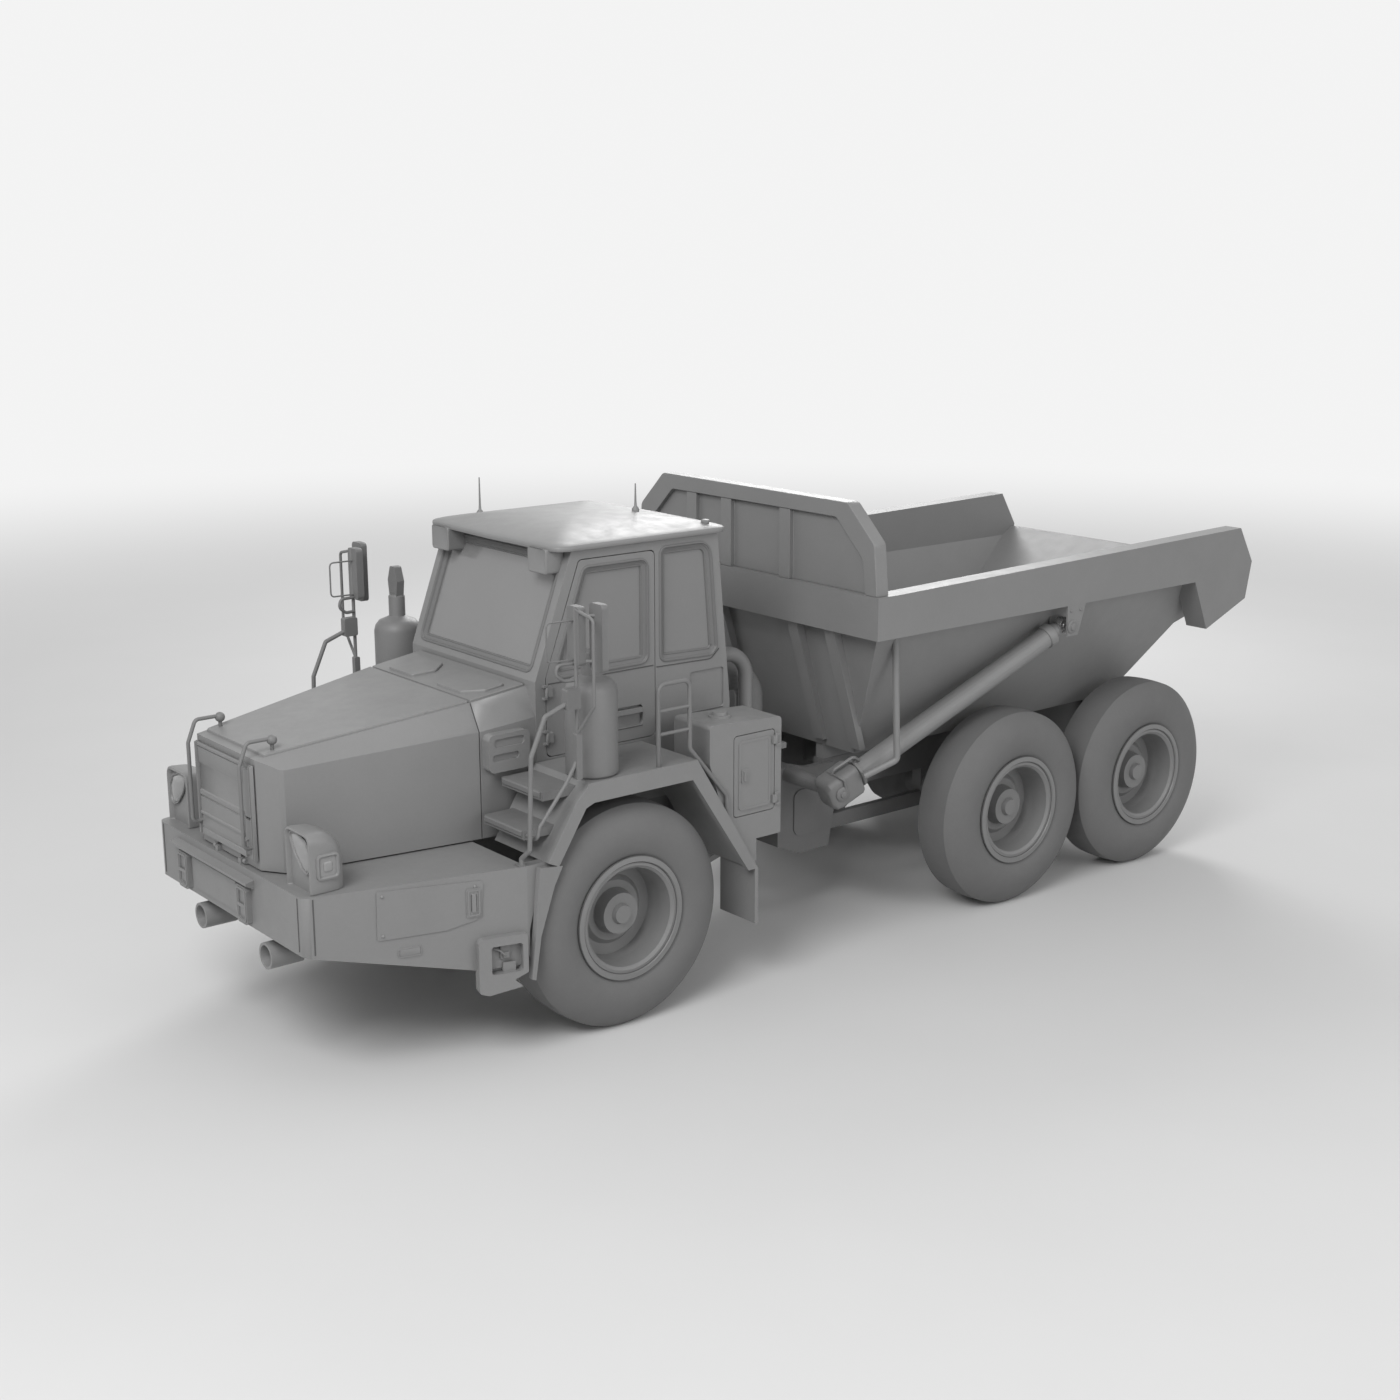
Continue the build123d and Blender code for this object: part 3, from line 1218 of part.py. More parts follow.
# headboard: a rimmed guard above the ledge, with ribs on its sheet
guard_foot_z = body_rail_front_top_z + 5
guard_outline = (
    (-1430, guard_foot_z),
    (-1392, 3133),
    (-1100, 3412),
    (1100, 3412),
    (1392, 3133),
    (1430, guard_foot_z),
)
guard_radii = (0, 70, 70, 70, 70, 0)
guard_opening = [(x - math.copysign(guard_rim, x), z - (guard_rim if z > guard_foot_z else 50))
                 for x, z in guard_outline]
with BuildPart() as headboard:
    front_prism(guard_outline, guard_front_y, guard_front_y + guard_depth, radius=guard_radii)
    front_prism(guard_opening, guard_front_y - 20, guard_front_y + guard_depth + 20, Mode.SUBTRACT,
                (0, 50, 50, 50, 50, 0))
    front_prism(guard_outline, guard_front_y + 45, guard_front_y + 45 + guard_sheet, radius=guard_radii)
    for x in guard_ribs:
        front_prism(block(x - guard_rib_half, x + guard_rib_half, guard_foot_z, 3330), guard_front_y + 5,
                    guard_front_y + 60, radius=(0, 0, 24, 24))
save("headboard", headboard)

# hoist rams
hoist_run = (hoist_top - hoist_low).normalized()
hoist_eye = 92
for side_name, side in (("left", 1), ("right", -1)):
    low = Vector(side * hoist_low.X, hoist_low.Y, hoist_low.Z)
    run = Vector(side * hoist_run.X, hoist_run.Y, hoist_run.Z)
    top = Vector(side * hoist_top.X, hoist_top.Y, hoist_top.Z)
    with BuildPart() as barrel:
        rod_between(low + run * hoist_barrel_start, low + run * hoist_barrel_end, hoist_barrel_radius)
        rod_between(low + run * (hoist_barrel_start - 40), low + run * (hoist_barrel_start + 90),
                    hoist_barrel_radius + 22)
        rod_between(low + run * (hoist_barrel_end - 70), low + run * hoist_barrel_end,
                    hoist_barrel_radius + 10)
        cross_rod(low.X - 42, low.X + 42, low.Y, low.Z, hoist_eye)
        rod_between(low + run * 50, low + run * hoist_barrel_start, 60)
        for x0, x1, bore in ((-60, 60, hoist_pin_radius + 0.7), (-60, -6, hoist_pin_radius + 6),
                             (6, 60, hoist_pin_radius + 6)):
            cross_rod(low.X + x0, low.X + x1, low.Y, low.Z, bore, Mode.SUBTRACT)
        rod_between(low + run * 170, low + run * (hoist_barrel_end - 80), hoist_rod_radius + 15,
                    Mode.SUBTRACT)
        rod_between(low + run * 200, low + run * (hoist_barrel_end + 10), hoist_rod_radius + seat_gap,
                    Mode.SUBTRACT)
    save("hoist_barrel_" + side_name, barrel)
    with BuildPart() as ram:
        rod_between(low + run * 176, top - run * 40, hoist_rod_radius)
        cross_rod(top.X - 34, top.X + 34, top.Y, top.Z, 2 * hoist_pin_radius)
        cross_rod(top.X - 40, top.X + 40, top.Y, top.Z, hoist_pin_radius)
    save("hoist_rod_" + side_name, ram)

# steering rams
steer_eye_low_z = steer_lug_high_z
steer_eye_high_z = 2 * steer_front.Z - steer_lug_high_z
for side_name, side in (("left", 1), ("right", -1)):
    x = side * steer_front.X
    with BuildPart() as barrel:
        upright(x, steer_front.Y, steer_eye_low_z, steer_eye_high_z, 58)
        rod_between((x, steer_front.Y + 40, steer_front.Z), (x, steer_front.Y + steer_barrel_end,
                                                             steer_front.Z),
                    steer_barrel_radius)
        upright(x, steer_front.Y, steer_eye_low_z - 10, steer_eye_high_z + 10, steer_pin_radius + pin_gap,
                Mode.SUBTRACT)
        rod_between((x, steer_front.Y + 110, steer_front.Z), (x, steer_front.Y + steer_barrel_end + 10,
                                                              steer_front.Z),
                    steer_rod_radius + seat_gap, Mode.SUBTRACT)
    save("steer_barrel_" + side_name, barrel)
    with BuildPart() as ram:
        rod_between((x, steer_front.Y + 420, steer_front.Z), (x, steer_rear.Y - 30, steer_front.Z),
                    steer_rod_radius)
        upright(x, steer_rear.Y, steer_eye_low_z + running_gap, steer_eye_high_z - 5, steer_lug_round)
    save("steer_rod_" + side_name, ram)
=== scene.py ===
import json
import math

import bmesh
import bpy
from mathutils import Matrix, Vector


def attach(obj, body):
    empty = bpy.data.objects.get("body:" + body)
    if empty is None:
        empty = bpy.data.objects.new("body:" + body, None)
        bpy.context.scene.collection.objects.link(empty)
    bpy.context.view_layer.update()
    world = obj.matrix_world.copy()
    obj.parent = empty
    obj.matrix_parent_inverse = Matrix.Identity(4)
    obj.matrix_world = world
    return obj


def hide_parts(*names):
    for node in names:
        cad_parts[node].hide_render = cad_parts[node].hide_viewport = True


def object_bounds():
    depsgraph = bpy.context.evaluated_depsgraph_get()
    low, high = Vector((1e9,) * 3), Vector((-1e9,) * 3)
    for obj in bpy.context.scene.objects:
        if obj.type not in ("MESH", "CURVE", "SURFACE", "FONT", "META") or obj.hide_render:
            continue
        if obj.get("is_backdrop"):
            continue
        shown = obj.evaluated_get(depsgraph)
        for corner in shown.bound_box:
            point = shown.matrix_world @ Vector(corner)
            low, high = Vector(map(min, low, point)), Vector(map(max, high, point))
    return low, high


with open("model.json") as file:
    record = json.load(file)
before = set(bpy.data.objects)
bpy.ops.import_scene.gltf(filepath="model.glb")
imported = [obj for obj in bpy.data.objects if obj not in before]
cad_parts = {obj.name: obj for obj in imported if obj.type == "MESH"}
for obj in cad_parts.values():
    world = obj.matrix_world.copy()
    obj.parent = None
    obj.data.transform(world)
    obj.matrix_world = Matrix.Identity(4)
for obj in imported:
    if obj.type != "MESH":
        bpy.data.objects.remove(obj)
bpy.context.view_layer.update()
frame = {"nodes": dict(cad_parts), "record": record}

# camera, fitted to the photograph
CAMERA_TARGET = Vector((0.1898, -0.6328, 1.8423))
CAMERA_AZIMUTH = math.radians(50.889)
CAMERA_ELEVATION = math.radians(14.100)
CAMERA_DISTANCE = 14.803
CAMERA_LENS = 49.48
SENSOR_WIDTH = 36.0

# greys, linear
PAINT_GREY = 0.205
FRAME_GREY = 0.150
RUBBER_GREY = 0.135
RIM_GREY = 0.190
TRIM_GREY = 0.160
GLASS_GREY = 0.195
STEEL_GREY = 0.420
SEAL_GREY = 0.150
# dark grey for the cab's joint lines, also used as painted shade: dark lines on the bumper's corner folds and
# in the rims' grooves
SEAM_AND_SHADE_GREY = 0.080
LENS_GREY = 0.240
FLOOR_GREY = 0.620
WORLD_GREY = 0.900
WORLD_STRENGTH = 0.55

EDGE_ROUND = 0.005
EDGE_ANGLE = math.radians(32)


# materials
def new_material(name):
    mat = bpy.data.materials.new(name)
    mat.use_nodes = True
    tree = mat.node_tree
    shader = tree.nodes["Principled BSDF"]
    return mat, tree, shader


def noise(tree, scale, detail=4.0, rough=0.55):
    coords = tree.nodes.new("ShaderNodeTexCoord")
    node = tree.nodes.new("ShaderNodeTexNoise")
    node.inputs["Scale"].default_value = scale
    node.inputs["Detail"].default_value = detail
    node.inputs["Roughness"].default_value = rough
    tree.links.new(coords.outputs["Object"], node.inputs["Vector"])
    return node.outputs["Fac"]


def ramp(tree, factor, low, high, start=0.3, end=0.7):
    node = tree.nodes.new("ShaderNodeMapRange")
    node.inputs["From Min"].default_value = start
    node.inputs["From Max"].default_value = end
    node.inputs["To Min"].default_value = low
    node.inputs["To Max"].default_value = high
    tree.links.new(factor, node.inputs["Value"])
    return node.outputs["Result"]


def grey_mix(tree, factor, low, high):
    node = tree.nodes.new("ShaderNodeMix")
    node.data_type = "RGBA"
    node.inputs["A"].default_value = (low, low, low, 1.0)
    node.inputs["B"].default_value = (high, high, high, 1.0)
    tree.links.new(factor, node.inputs["Factor"])
    return node.outputs["Result"]


def finish_material(name, grey, spread, rough, rough_spread, bump, bump_scale,
                    metal=0.0, coat=0.0):
    # a grey finish: slow tone drift, patchy gloss and a fine grain in the surface
    mat, tree, shader = new_material(name)
    drift = noise(tree, 1.7)
    speckle = noise(tree, 46.0, 6.0)
    tone = tree.nodes.new("ShaderNodeMath")
    tone.operation = "MULTIPLY_ADD"
    tree.links.new(speckle, tone.inputs[0])
    tone.inputs[1].default_value = 0.35
    tree.links.new(drift, tone.inputs[2])
    factor = ramp(tree, tone.outputs["Value"], 0.0, 1.0, 0.4, 0.95)
    colour = grey_mix(tree, factor, grey * (1 - spread), grey * (1 + spread))
    tree.links.new(colour, shader.inputs["Base Color"])
    gloss = ramp(tree, noise(tree, 9.0), rough - rough_spread, rough + rough_spread)
    tree.links.new(gloss, shader.inputs["Roughness"])
    grain = tree.nodes.new("ShaderNodeBump")
    grain.inputs["Strength"].default_value = bump
    grain.inputs["Distance"].default_value = 0.001
    tree.links.new(noise(tree, bump_scale, 3.0), grain.inputs["Height"])
    tree.links.new(grain.outputs["Normal"], shader.inputs["Normal"])
    shader.inputs["Metallic"].default_value = metal
    shader.inputs["Coat Weight"].default_value = coat
    return mat


materials = {
    "body_paint": finish_material("body_paint", PAINT_GREY, 0.05, 0.46, 0.05, 0.10, 160.0),
    "chassis_paint": finish_material("chassis_paint", FRAME_GREY, 0.08, 0.58, 0.06, 0.18, 120.0),
    "tyre": finish_material("tyre", RUBBER_GREY, 0.07, 0.72, 0.05, 0.25, 200.0),
    "rim_paint": finish_material("rim_paint", RIM_GREY, 0.05, 0.45, 0.05, 0.10, 160.0),
    "trim": finish_material("trim", TRIM_GREY, 0.05, 0.55, 0.05, 0.15, 260.0),
    "machinery": finish_material("machinery", TRIM_GREY * 1.1, 0.06, 0.50, 0.06, 0.14, 140.0),
    "glass": finish_material("glass", GLASS_GREY, 0.03, 0.22, 0.03, 0.02, 40.0, coat=0.3),
    "rod_steel": finish_material("rod_steel", STEEL_GREY, 0.04, 0.28, 0.04, 0.06, 220.0, metal=0.8),
    "seal": finish_material("seal", SEAL_GREY, 0.05, 0.60, 0.05, 0.10, 300.0),
    # seam: dark grey for the cab's joint lines, and painted shade on the bumper's corner folds and in the
    # rims' grooves
    "seam": finish_material("seam", SEAM_AND_SHADE_GREY, 0.10, 0.80, 0.05, 0.05, 300.0),
    "lens": finish_material("lens", LENS_GREY, 0.04, 0.20, 0.03, 0.05, 60.0, coat=0.5),
    "mirror_face": finish_material("mirror_face", STEEL_GREY, 0.02, 0.10, 0.02, 0.01, 20.0, metal=0.9),
}

node_slot = {row["node"]: row["material_slot"] for row in frame["record"]["subparts"]}


# CAD nodes
def soften(obj):
    # joins the split faces, rounds the outer edges a little and hardens the normals next to the rounds
    weld = obj.modifiers.new("weld", "WELD")
    weld.merge_threshold = 0.00005
    flat = obj.modifiers.new("flat", "DECIMATE")
    flat.decimate_type = "DISSOLVE"
    flat.angle_limit = math.radians(0.4)
    bevel = obj.modifiers.new("bevel", "BEVEL")
    bevel.width = EDGE_ROUND
    bevel.segments = 2
    bevel.limit_method = "ANGLE"
    bevel.angle_limit = EDGE_ANGLE
    bevel.harden_normals = True
    bevel.use_clamp_overlap = True


for node, obj in frame["nodes"].items():
    obj.data.materials.clear()
    obj.data.materials.append(materials[node_slot[node]])
    if not node.endswith(("_tyre", "_rim")):
        soften(obj)


# pieces added to the CAD nodes, placed in the drawn frame and moved into the stored one by MIDDLE
MIDDLE = 0.0375
CAB_HALF = 0.800
SIDES = (("left", 1), ("right", -1))


def at(x, y, z):
    return Vector((x, y - MIDDLE, z))


def add_piece(name, shape, material, body, round_edge=0.0):
    verts, faces = shape
    mesh = bpy.data.meshes.new(name)
    mesh.from_pydata([tuple(v) for v in verts], [], faces)
    mesh.validate()
    bm = bmesh.new()
    bm.from_mesh(mesh)
    bmesh.ops.remove_doubles(bm, verts=bm.verts, dist=0.00002)
    bmesh.ops.recalc_face_normals(bm, faces=bm.faces)
    bm.to_mesh(mesh)
    bm.free()
    for polygon in mesh.polygons:
        polygon.use_smooth = True
    obj = bpy.data.objects.new(name, mesh)
    bpy.context.scene.collection.objects.link(obj)
    obj.data.materials.append(materials[material])
    if round_edge:
        bevel = obj.modifiers.new("bevel", "BEVEL")
        bevel.width = round_edge
        bevel.segments = 2
        bevel.limit_method = "ANGLE"
        bevel.angle_limit = math.radians(35)
        bevel.harden_normals = True
    else:
        mesh.set_sharp_from_angle(angle=math.radians(38))
    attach(obj, body)
    return obj


def rounded(points, radius, steps=6, closed=True):
    # polyline with its corners turned into short arcs; radius is one number or one per point
    points = [Vector(p) for p in points]
    count = len(points)
    radii = radius if isinstance(radius, (list, tuple)) else [radius] * count
    rows = []
    for i, corner in enumerate(points):
        if not closed and i in (0, count - 1):
            rows.append(corner)
            continue
        before = points[i - 1] - corner
        after = points[(i + 1) % count] - corner
        half = before.angle(after) / 2
        reach = min(radii[i] / max(math.tan(half), 1e-6), 0.49 * before.length, 0.49 * after.length)
        if reach < 1e-5:
            rows.append(corner)
            continue
        start = corner + before.normalized() * reach
        end = corner + after.normalized() * reach
        for k in range(steps + 1):
            t = k / steps
            rows.append((1 - t) ** 2 * start + 2 * t * (1 - t) * corner + t ** 2 * end)
    return rows


def tube(path, radius, closed=False, sides=10):
    # round bar along the path, its section carried without twist
    count = len(path)
    verts, faces = [], []
    side = None
    for i, point in enumerate(path):
        if closed:
            run = (path[(i + 1) % count] - path[i - 1]).normalized()
        else:
            run = (path[min(i + 1, count - 1)] - path[max(i - 1, 0)]).normalized()
        if side is None:
            side = run.orthogonal().normalized()
        side = (side - run * side.dot(run)).normalized()
        up = run.cross(side)
        for k in range(sides):
            a = 2 * math.pi * k / sides
            verts.append(point + (side * math.cos(a) + up * math.sin(a)) * radius)
    for i in range(count if closed else count - 1):
        for k in range(sides):
            a, b = i * sides, (i + 1) % count * sides
            faces.append((a + k, a + (k + 1) % sides, b + (k + 1) % sides, b + k))
    if not closed:
        faces.append(tuple(range(sides)))
        faces.append(tuple(range((count - 1) * sides, count * sides)))
    return verts, faces


def joined(shapes):
    # several shapes as one
    verts, faces = [], []
    for shape_verts, shape_faces in shapes:
        start = len(verts)
        verts += shape_verts
        faces += [tuple(start + i for i in face) for face in shape_faces]
    return verts, faces


def band(outline, place, profile):
    # closed band along a plane outline; profile rows are (outwards in the plane, off the plane)
    count = len(outline)
    verts, faces = [], []
    centre = sum(outline, Vector((0, 0))) / count
    for i, point in enumerate(outline):
        run = (outline[(i + 1) % count] - outline[i - 1]).normalized()
        out = Vector((run.y, -run.x))
        if out.dot(point - centre) < 0:
            out = -out
        for outwards, off in profile:
            spot = point + out * outwards
            verts.append(place(spot.x, spot.y, off))
    width = len(profile)
    for i in range(count):
        for k in range(width - 1):
            a, b = i * width + k, (i + 1) % count * width + k
            faces.append((a, a + 1, b + 1, b))
    return verts, faces


def plate(outline, place, low, high, crown=0.0, edge=0.003):
    # flat or slightly domed plate on a plane outline
    count = len(outline)
    centre = sum(outline, Vector((0, 0))) / count
    reach = max((p - centre).length for p in outline)
    rings = [(1.0, low), (1.0, high - edge), (1 - edge / reach, high)]
    if crown:
        rings += [(0.8, high + 0.36 * crown), (0.6, high + 0.64 * crown), (0.4, high + 0.84 * crown),
                  (0.2, high + 0.96 * crown)]
    verts, faces = [], []
    for scale, off in rings:
        for point in outline:
            spot = centre + (point - centre) * scale
            verts.append(place(spot.x, spot.y, off))
    for r in range(len(rings) - 1):
        for i in range(count):
            a, b = r * count, (r + 1) * count
            faces.append((a + i, a + (i + 1) % count, b + (i + 1) % count, b + i))
    last = (len(rings) - 1) * count
    verts.append(place(centre.x, centre.y, high + crown))
    for i in range(count):
        faces.append((last + i, last + (i + 1) % count, len(verts) - 1))
    faces.append(tuple(reversed(range(count))))
    return verts, faces


def dome(centre, normal, radius, height, sides=14):
    # rivet or bolt head with a rounded top
    normal = Vector(normal).normalized()
    side = normal.orthogonal().normalized()
    up = normal.cross(side)
    verts, faces = [], []
    rows = ((1.0, -0.3), (1.0, 0.25), (0.86, 0.66), (0.5, 0.93))
    for scale, lift in rows:
        for k in range(sides):
            a = 2 * math.pi * k / sides
            spoke = side * math.cos(a) + up * math.sin(a)
            verts.append(centre + spoke * radius * scale + normal * height * lift)
    for r in range(len(rows) - 1):
        for k in range(sides):
            a, b = r * sides, (r + 1) * sides
            faces.append((a + k, a + (k + 1) % sides, b + (k + 1) % sides, b + k))
    verts.append(centre + normal * height)
    last = (len(rows) - 1) * sides
    for k in range(sides):
        faces.append((last + k, last + (k + 1) % sides, len(verts) - 1))
    faces.append(tuple(range(sides)))
    return verts, faces


def lathe(profile, start, axis, sides=32):
    # profile rows are (distance along the axis, radius)
    axis = Vector(axis).normalized()
    side = axis.orthogonal().normalized()
    up = axis.cross(side)
    verts, faces = [], []
    for along, radius in profile:
        for k in range(sides):
            a = 2 * math.pi * k / sides
            verts.append(start + axis * along + (side * math.cos(a) + up * math.sin(a)) * radius)
    for r in range(len(profile) - 1):
        for k in range(sides):
            a, b = r * sides, (r + 1) * sides
            faces.append((a + k, a + (k + 1) % sides, b + (k + 1) % sides, b + k))
    faces.append(tuple(range(sides)))
    faces.append(tuple(range((len(profile) - 1) * sides, len(profile) * sides)))
    return verts, faces


def loft(sections, closed_ends=True):
    # skin over sections of equal point count
    count = len(sections[0])
    verts = [point for section in sections for point in section]
    faces = []
    for r in range(len(sections) - 1):
        for k in range(count):
            a, b = r * count, (r + 1) * count
            faces.append((a + k, a + (k + 1) % count, b + (k + 1) % count, b + k))
    if closed_ends:
        faces.append(tuple(range(count)))
        faces.append(tuple(range((len(sections) - 1) * count, len(sections) * count)))
    return verts, faces


def rectangle(a0, a1, b0, b1):
    return [Vector((a0, b0)), Vector((a1, b0)), Vector((a1, b1)), Vector((a0, b1))]


def flat_round(points, radius, steps=6):
    # plane outline with rounded corners
    return [Vector((p.x, p.y)) for p in rounded([(p[0], p[1], 0.0) for p in points], radius, steps)]


def side_place(side, x):
    # plane along the vehicle at x: first axis along, second up, third outwards
    return lambda u, v, off: at(side * (x + off), u, v)


def front_place(y):
    # upright plane that faces the nose
    return lambda u, v, off: at(u, y - off, v)


def back_place(y):
    return lambda u, v, off: at(u, y + off, v)


def leaning_place(foot, head, facing):
    # the cab's leaning end walls: first axis across, second up the wall from its foot
    lean = (head[0] - foot[0]) / (head[1] - foot[1])
    along = math.hypot(1, lean)
    rise = Vector((0, lean / along, 1 / along))
    normal = Vector((0, facing / along, -facing * lean / along))
    return lambda u, v, off: at(u, foot[0], foot[1]) + rise * v + normal * off


def flare(y):
    # half width of the bumper's flared side
    return 1.050 + 0.2474 * (y + 4.470)


def flare_place(side):
    # the bumper's flared side: first axis along, second up, third outwards
    return lambda u, v, off: at(side * (flare(u) + 0.9707 * off), u - 0.2402 * off, v)


def line(name, points, radius, body, material="seam", bend=0.0, closed=False, sides=8):
    path = rounded([at(*p) for p in points], bend, 6, closed)
    return add_piece(name, tube(path, radius, closed, sides), material, body)


# window seals: a ridge on the skin, a sloping band and a lip on the glass
SEAL = ((0.020, 0.000), (0.018, 0.006), (0.012, 0.009), (0.005, 0.008), (0.000, 0.002), (-0.003, -0.008),
        (-0.028, -0.015), (-0.031, -0.012), (-0.038, -0.012), (-0.042, -0.018), (-0.043, -0.029))
DOOR_WINDOW = ((-2.370, 2.400), (-2.110, 3.125), (-1.575, 3.125), (-1.575, 2.400))
REAR_WINDOW = ((-1.445, 2.390), (-1.445, 3.190), (-1.010, 3.190), (-0.945, 2.420), (-0.985, 2.375))
door_window = flat_round(DOOR_WINDOW, 0.06, 8)
rear_window = flat_round(REAR_WINDOW, (0.05, 0.05, 0.11, 0.02, 0.03), 8)
screen = flat_round(rectangle(-0.71, 0.71, 0.0639, 0.8567), 0.06, 8)
back_window = flat_round(rectangle(-0.67, 0.67, 0.3918, 1.1653), 0.06, 8)
for name, outline, place, body in (
    ("windscreen_seal", screen, leaning_place((-2.530, 2.390), (-2.215, 3.255), -1), "front"),
    ("back_window_seal", back_window, leaning_place((-0.810, 2.000), (-0.930, 3.255), 1), "front"),
    ("rear_window_seal_left", rear_window, side_place(1, CAB_HALF), "front"),
    ("rear_window_seal_right", rear_window, side_place(-1, CAB_HALF), "front"),
    ("front_window_seal_right", door_window, side_place(-1, CAB_HALF), "front"),
    ("door_window_seal", door_window, side_place(1, CAB_HALF), "cab_door"),
):
    add_piece(name, band(outline, place, SEAL), "seal", body)

# thin seams on the cab's sides
line("door_seam", ((CAB_HALF, -2.425, 2.362), (CAB_HALF, -1.520, 2.362)), 0.0045, "cab_door")
line("door_catch_seam", ((CAB_HALF, -1.900, 1.940), (CAB_HALF, -1.620, 1.940)), 0.004, "cab_door")
for word, side in SIDES:
    front_end = -1.490 if side > 0 else -2.430
    wall = side * CAB_HALF
    line("belt_seam_" + word, ((wall, front_end, 2.345), (wall, -0.990, 2.335), (wall, -0.915, 2.400)),
         0.0045, "front", bend=0.06)
    line("sill_seam_" + word, ((wall, -1.185, 1.958), (wall, -0.878, 1.958)), 0.004, "front")

# skins of the hood's and the cowl's upper planes, which rise and widen from the nose to the windscreen
HOOD_FRONT_Y, HOOD_FRONT_Z, HOOD_FRONT_HALF = -4.430, 2.100, 0.420
COWL_FRONT_Y, COWL_FRONT_Z, COWL_FRONT_HALF = -2.962, 2.290, 0.665
SKIN_LOW, SKIN_HIGH, SKIN_EDGE = -0.004, 0.0165, 0.004


def hood_top(x, y, off):
    return at(x, y, HOOD_FRONT_Z + 0.1301 * (y - HOOD_FRONT_Y) + off)


def hood_half(y):
    return HOOD_FRONT_HALF + 0.1678 * (y - HOOD_FRONT_Y)


def cowl_top(x, y, off):
    return at(x, y, COWL_FRONT_Z + 0.1279 * (y - COWL_FRONT_Y) + off)


def cowl_half(y):
    return COWL_FRONT_HALF + 0.0581 * (y - COWL_FRONT_Y)


def tapering(half, front, back, inset):
    # corners of a plan that lies a little inside the plane's slanted sides
    return [(-half(front) + inset, front), (half(front) - inset, front),
            (half(back) - inset, back), (-half(back) + inset, back)]


hood_plan = flat_round(tapering(hood_half, -4.365, -2.975, 0.016), (0.03, 0.03, 0.004, 0.004), 6)
add_piece("hood_top_skin", plate(hood_plan, hood_top, SKIN_LOW, SKIN_HIGH, 0.0, SKIN_EDGE),
          "body_paint", "hood")
cowl_plan = flat_round(tapering(cowl_half, -2.958, -2.540, 0.014), 0.004, 3)
add_piece("cowl_top_skin", plate(cowl_plan, cowl_top, SKIN_LOW, SKIN_HIGH, 0.0, SKIN_EDGE),
          "body_paint", "front")

# bumper: dark lines on the folded corners as painted shade, rivets, latch, slot and plate brackets
BUMPER_FACE_Y = -4.506
for word, side in SIDES:
    # each corner fold gets two thin dark tubes, painted shade where the folds' ridges throw shadow lines
    fold_shade_lines = []
    for x, y, low_z in ((0.985, -4.4705, 0.985), (flare(-4.405) + 0.0005, -4.405, 0.968)):
        fold_shade_lines.append(tube([at(side * x, y, low_z), at(side * x, y, 1.338)], 0.0045, False, 8))
    add_piece("bumper_corner_shade_lines_" + word, joined(fold_shade_lines), "seam", "front")
    heads = []
    for y, z in ((-3.980, 1.292), (-3.984, 1.027), (-3.385, 1.268)):
        heads.append(dome(at(side * (flare(y) + 0.006), y, z), (side, -0.2474, 0), 0.012, 0.010))
    add_piece("panel_rivets_" + word, joined(heads), "body_paint", "front")
    ring = flat_round(rectangle(-3.436, -3.355, 1.071, 1.249), 0.018)
    bar = flat_round(rectangle(-3.410, -3.381, 1.095, 1.225), 0.008)
    slot_ring = flat_round(rectangle(-3.885, -3.743, 0.867, 0.918), 0.012)
    add_piece("panel_latch_" + word, joined([
        band(ring, flare_place(side), ((0.0, 0.010), (0.0, 0.019), (-0.010, 0.019), (-0.010, 0.010))),
        plate(bar, flare_place(side), 0.010, 0.022),
        band(slot_ring, flare_place(side),
             ((0.008, -0.001), (0.006, 0.006), (-0.002, 0.006), (-0.004, -0.001))),
    ]), "body_paint", "front")
brackets = []
for x0, x1 in ((-0.702, -0.552), (0.192, 0.342)):
    frame_line = flat_round(rectangle(x0 + 0.014, x1 - 0.014, 0.992, 1.218), 0.025)
    brackets.append(band(frame_line, front_place(BUMPER_FACE_Y),
                         ((0.004, -0.002), (0.003, 0.007), (-0.009, 0.007), (-0.012, -0.002))))
    bar = flat_round(rectangle(x0 + 0.020, x1 - 0.020, 1.088, 1.112), 0.006)
    brackets.append(plate(bar, front_place(BUMPER_FACE_Y), -0.002, 0.006))
add_piece("plate_bracket_frames", joined(brackets), "body_paint", "front")

# grille face in front of the slats: frame, bare name panel, two louvres and the side column
# rows are (height, how far the face stands out)
GRILLE_STEPS = (
    (2.060, 0.000), (2.056, 0.014), (2.040, 0.014), (2.036, 0.003), (2.030, 0.003), (2.027, 0.009),
    (1.925, 0.009), (1.915, 0.003), (1.738, 0.003), (1.730, 0.012), (1.702, 0.012), (1.692, 0.002),
    (1.684, 0.002), (1.680, 0.009), (1.586, 0.009), (1.580, 0.016), (1.566, 0.016), (1.556, 0.002),
    (1.474, 0.010), (1.466, 0.005), (1.460, 0.010), (1.422, 0.010), (1.418, 0.000),
)
COLUMN_UPPER = ((2.030, 0.0), (2.026, 0.009), (1.706, 0.009), (1.702, 0.0))
COLUMN_LOWER = ((1.690, 0.0), (1.686, 0.010), (1.426, 0.010), (1.422, 0.0))
GRILLE_EDGE = ((2.062, 0.0), (2.056, 0.018), (1.424, 0.018), (1.418, 0.0))


def grille_part(x0, x1, steps):
    # upright strip of the face between x0 and x1
    sections = []
    for x in (x0, x0 + 0.004, x1 - 0.004, x1):
        lift = 0.0 if x in (x0, x1) else 1.0
        sections.append([at(x, -4.4455 - lift * off, z) for z, off in steps] +
                        [at(x, -4.4400, z) for z, _ in reversed(steps)])
    return loft(sections)


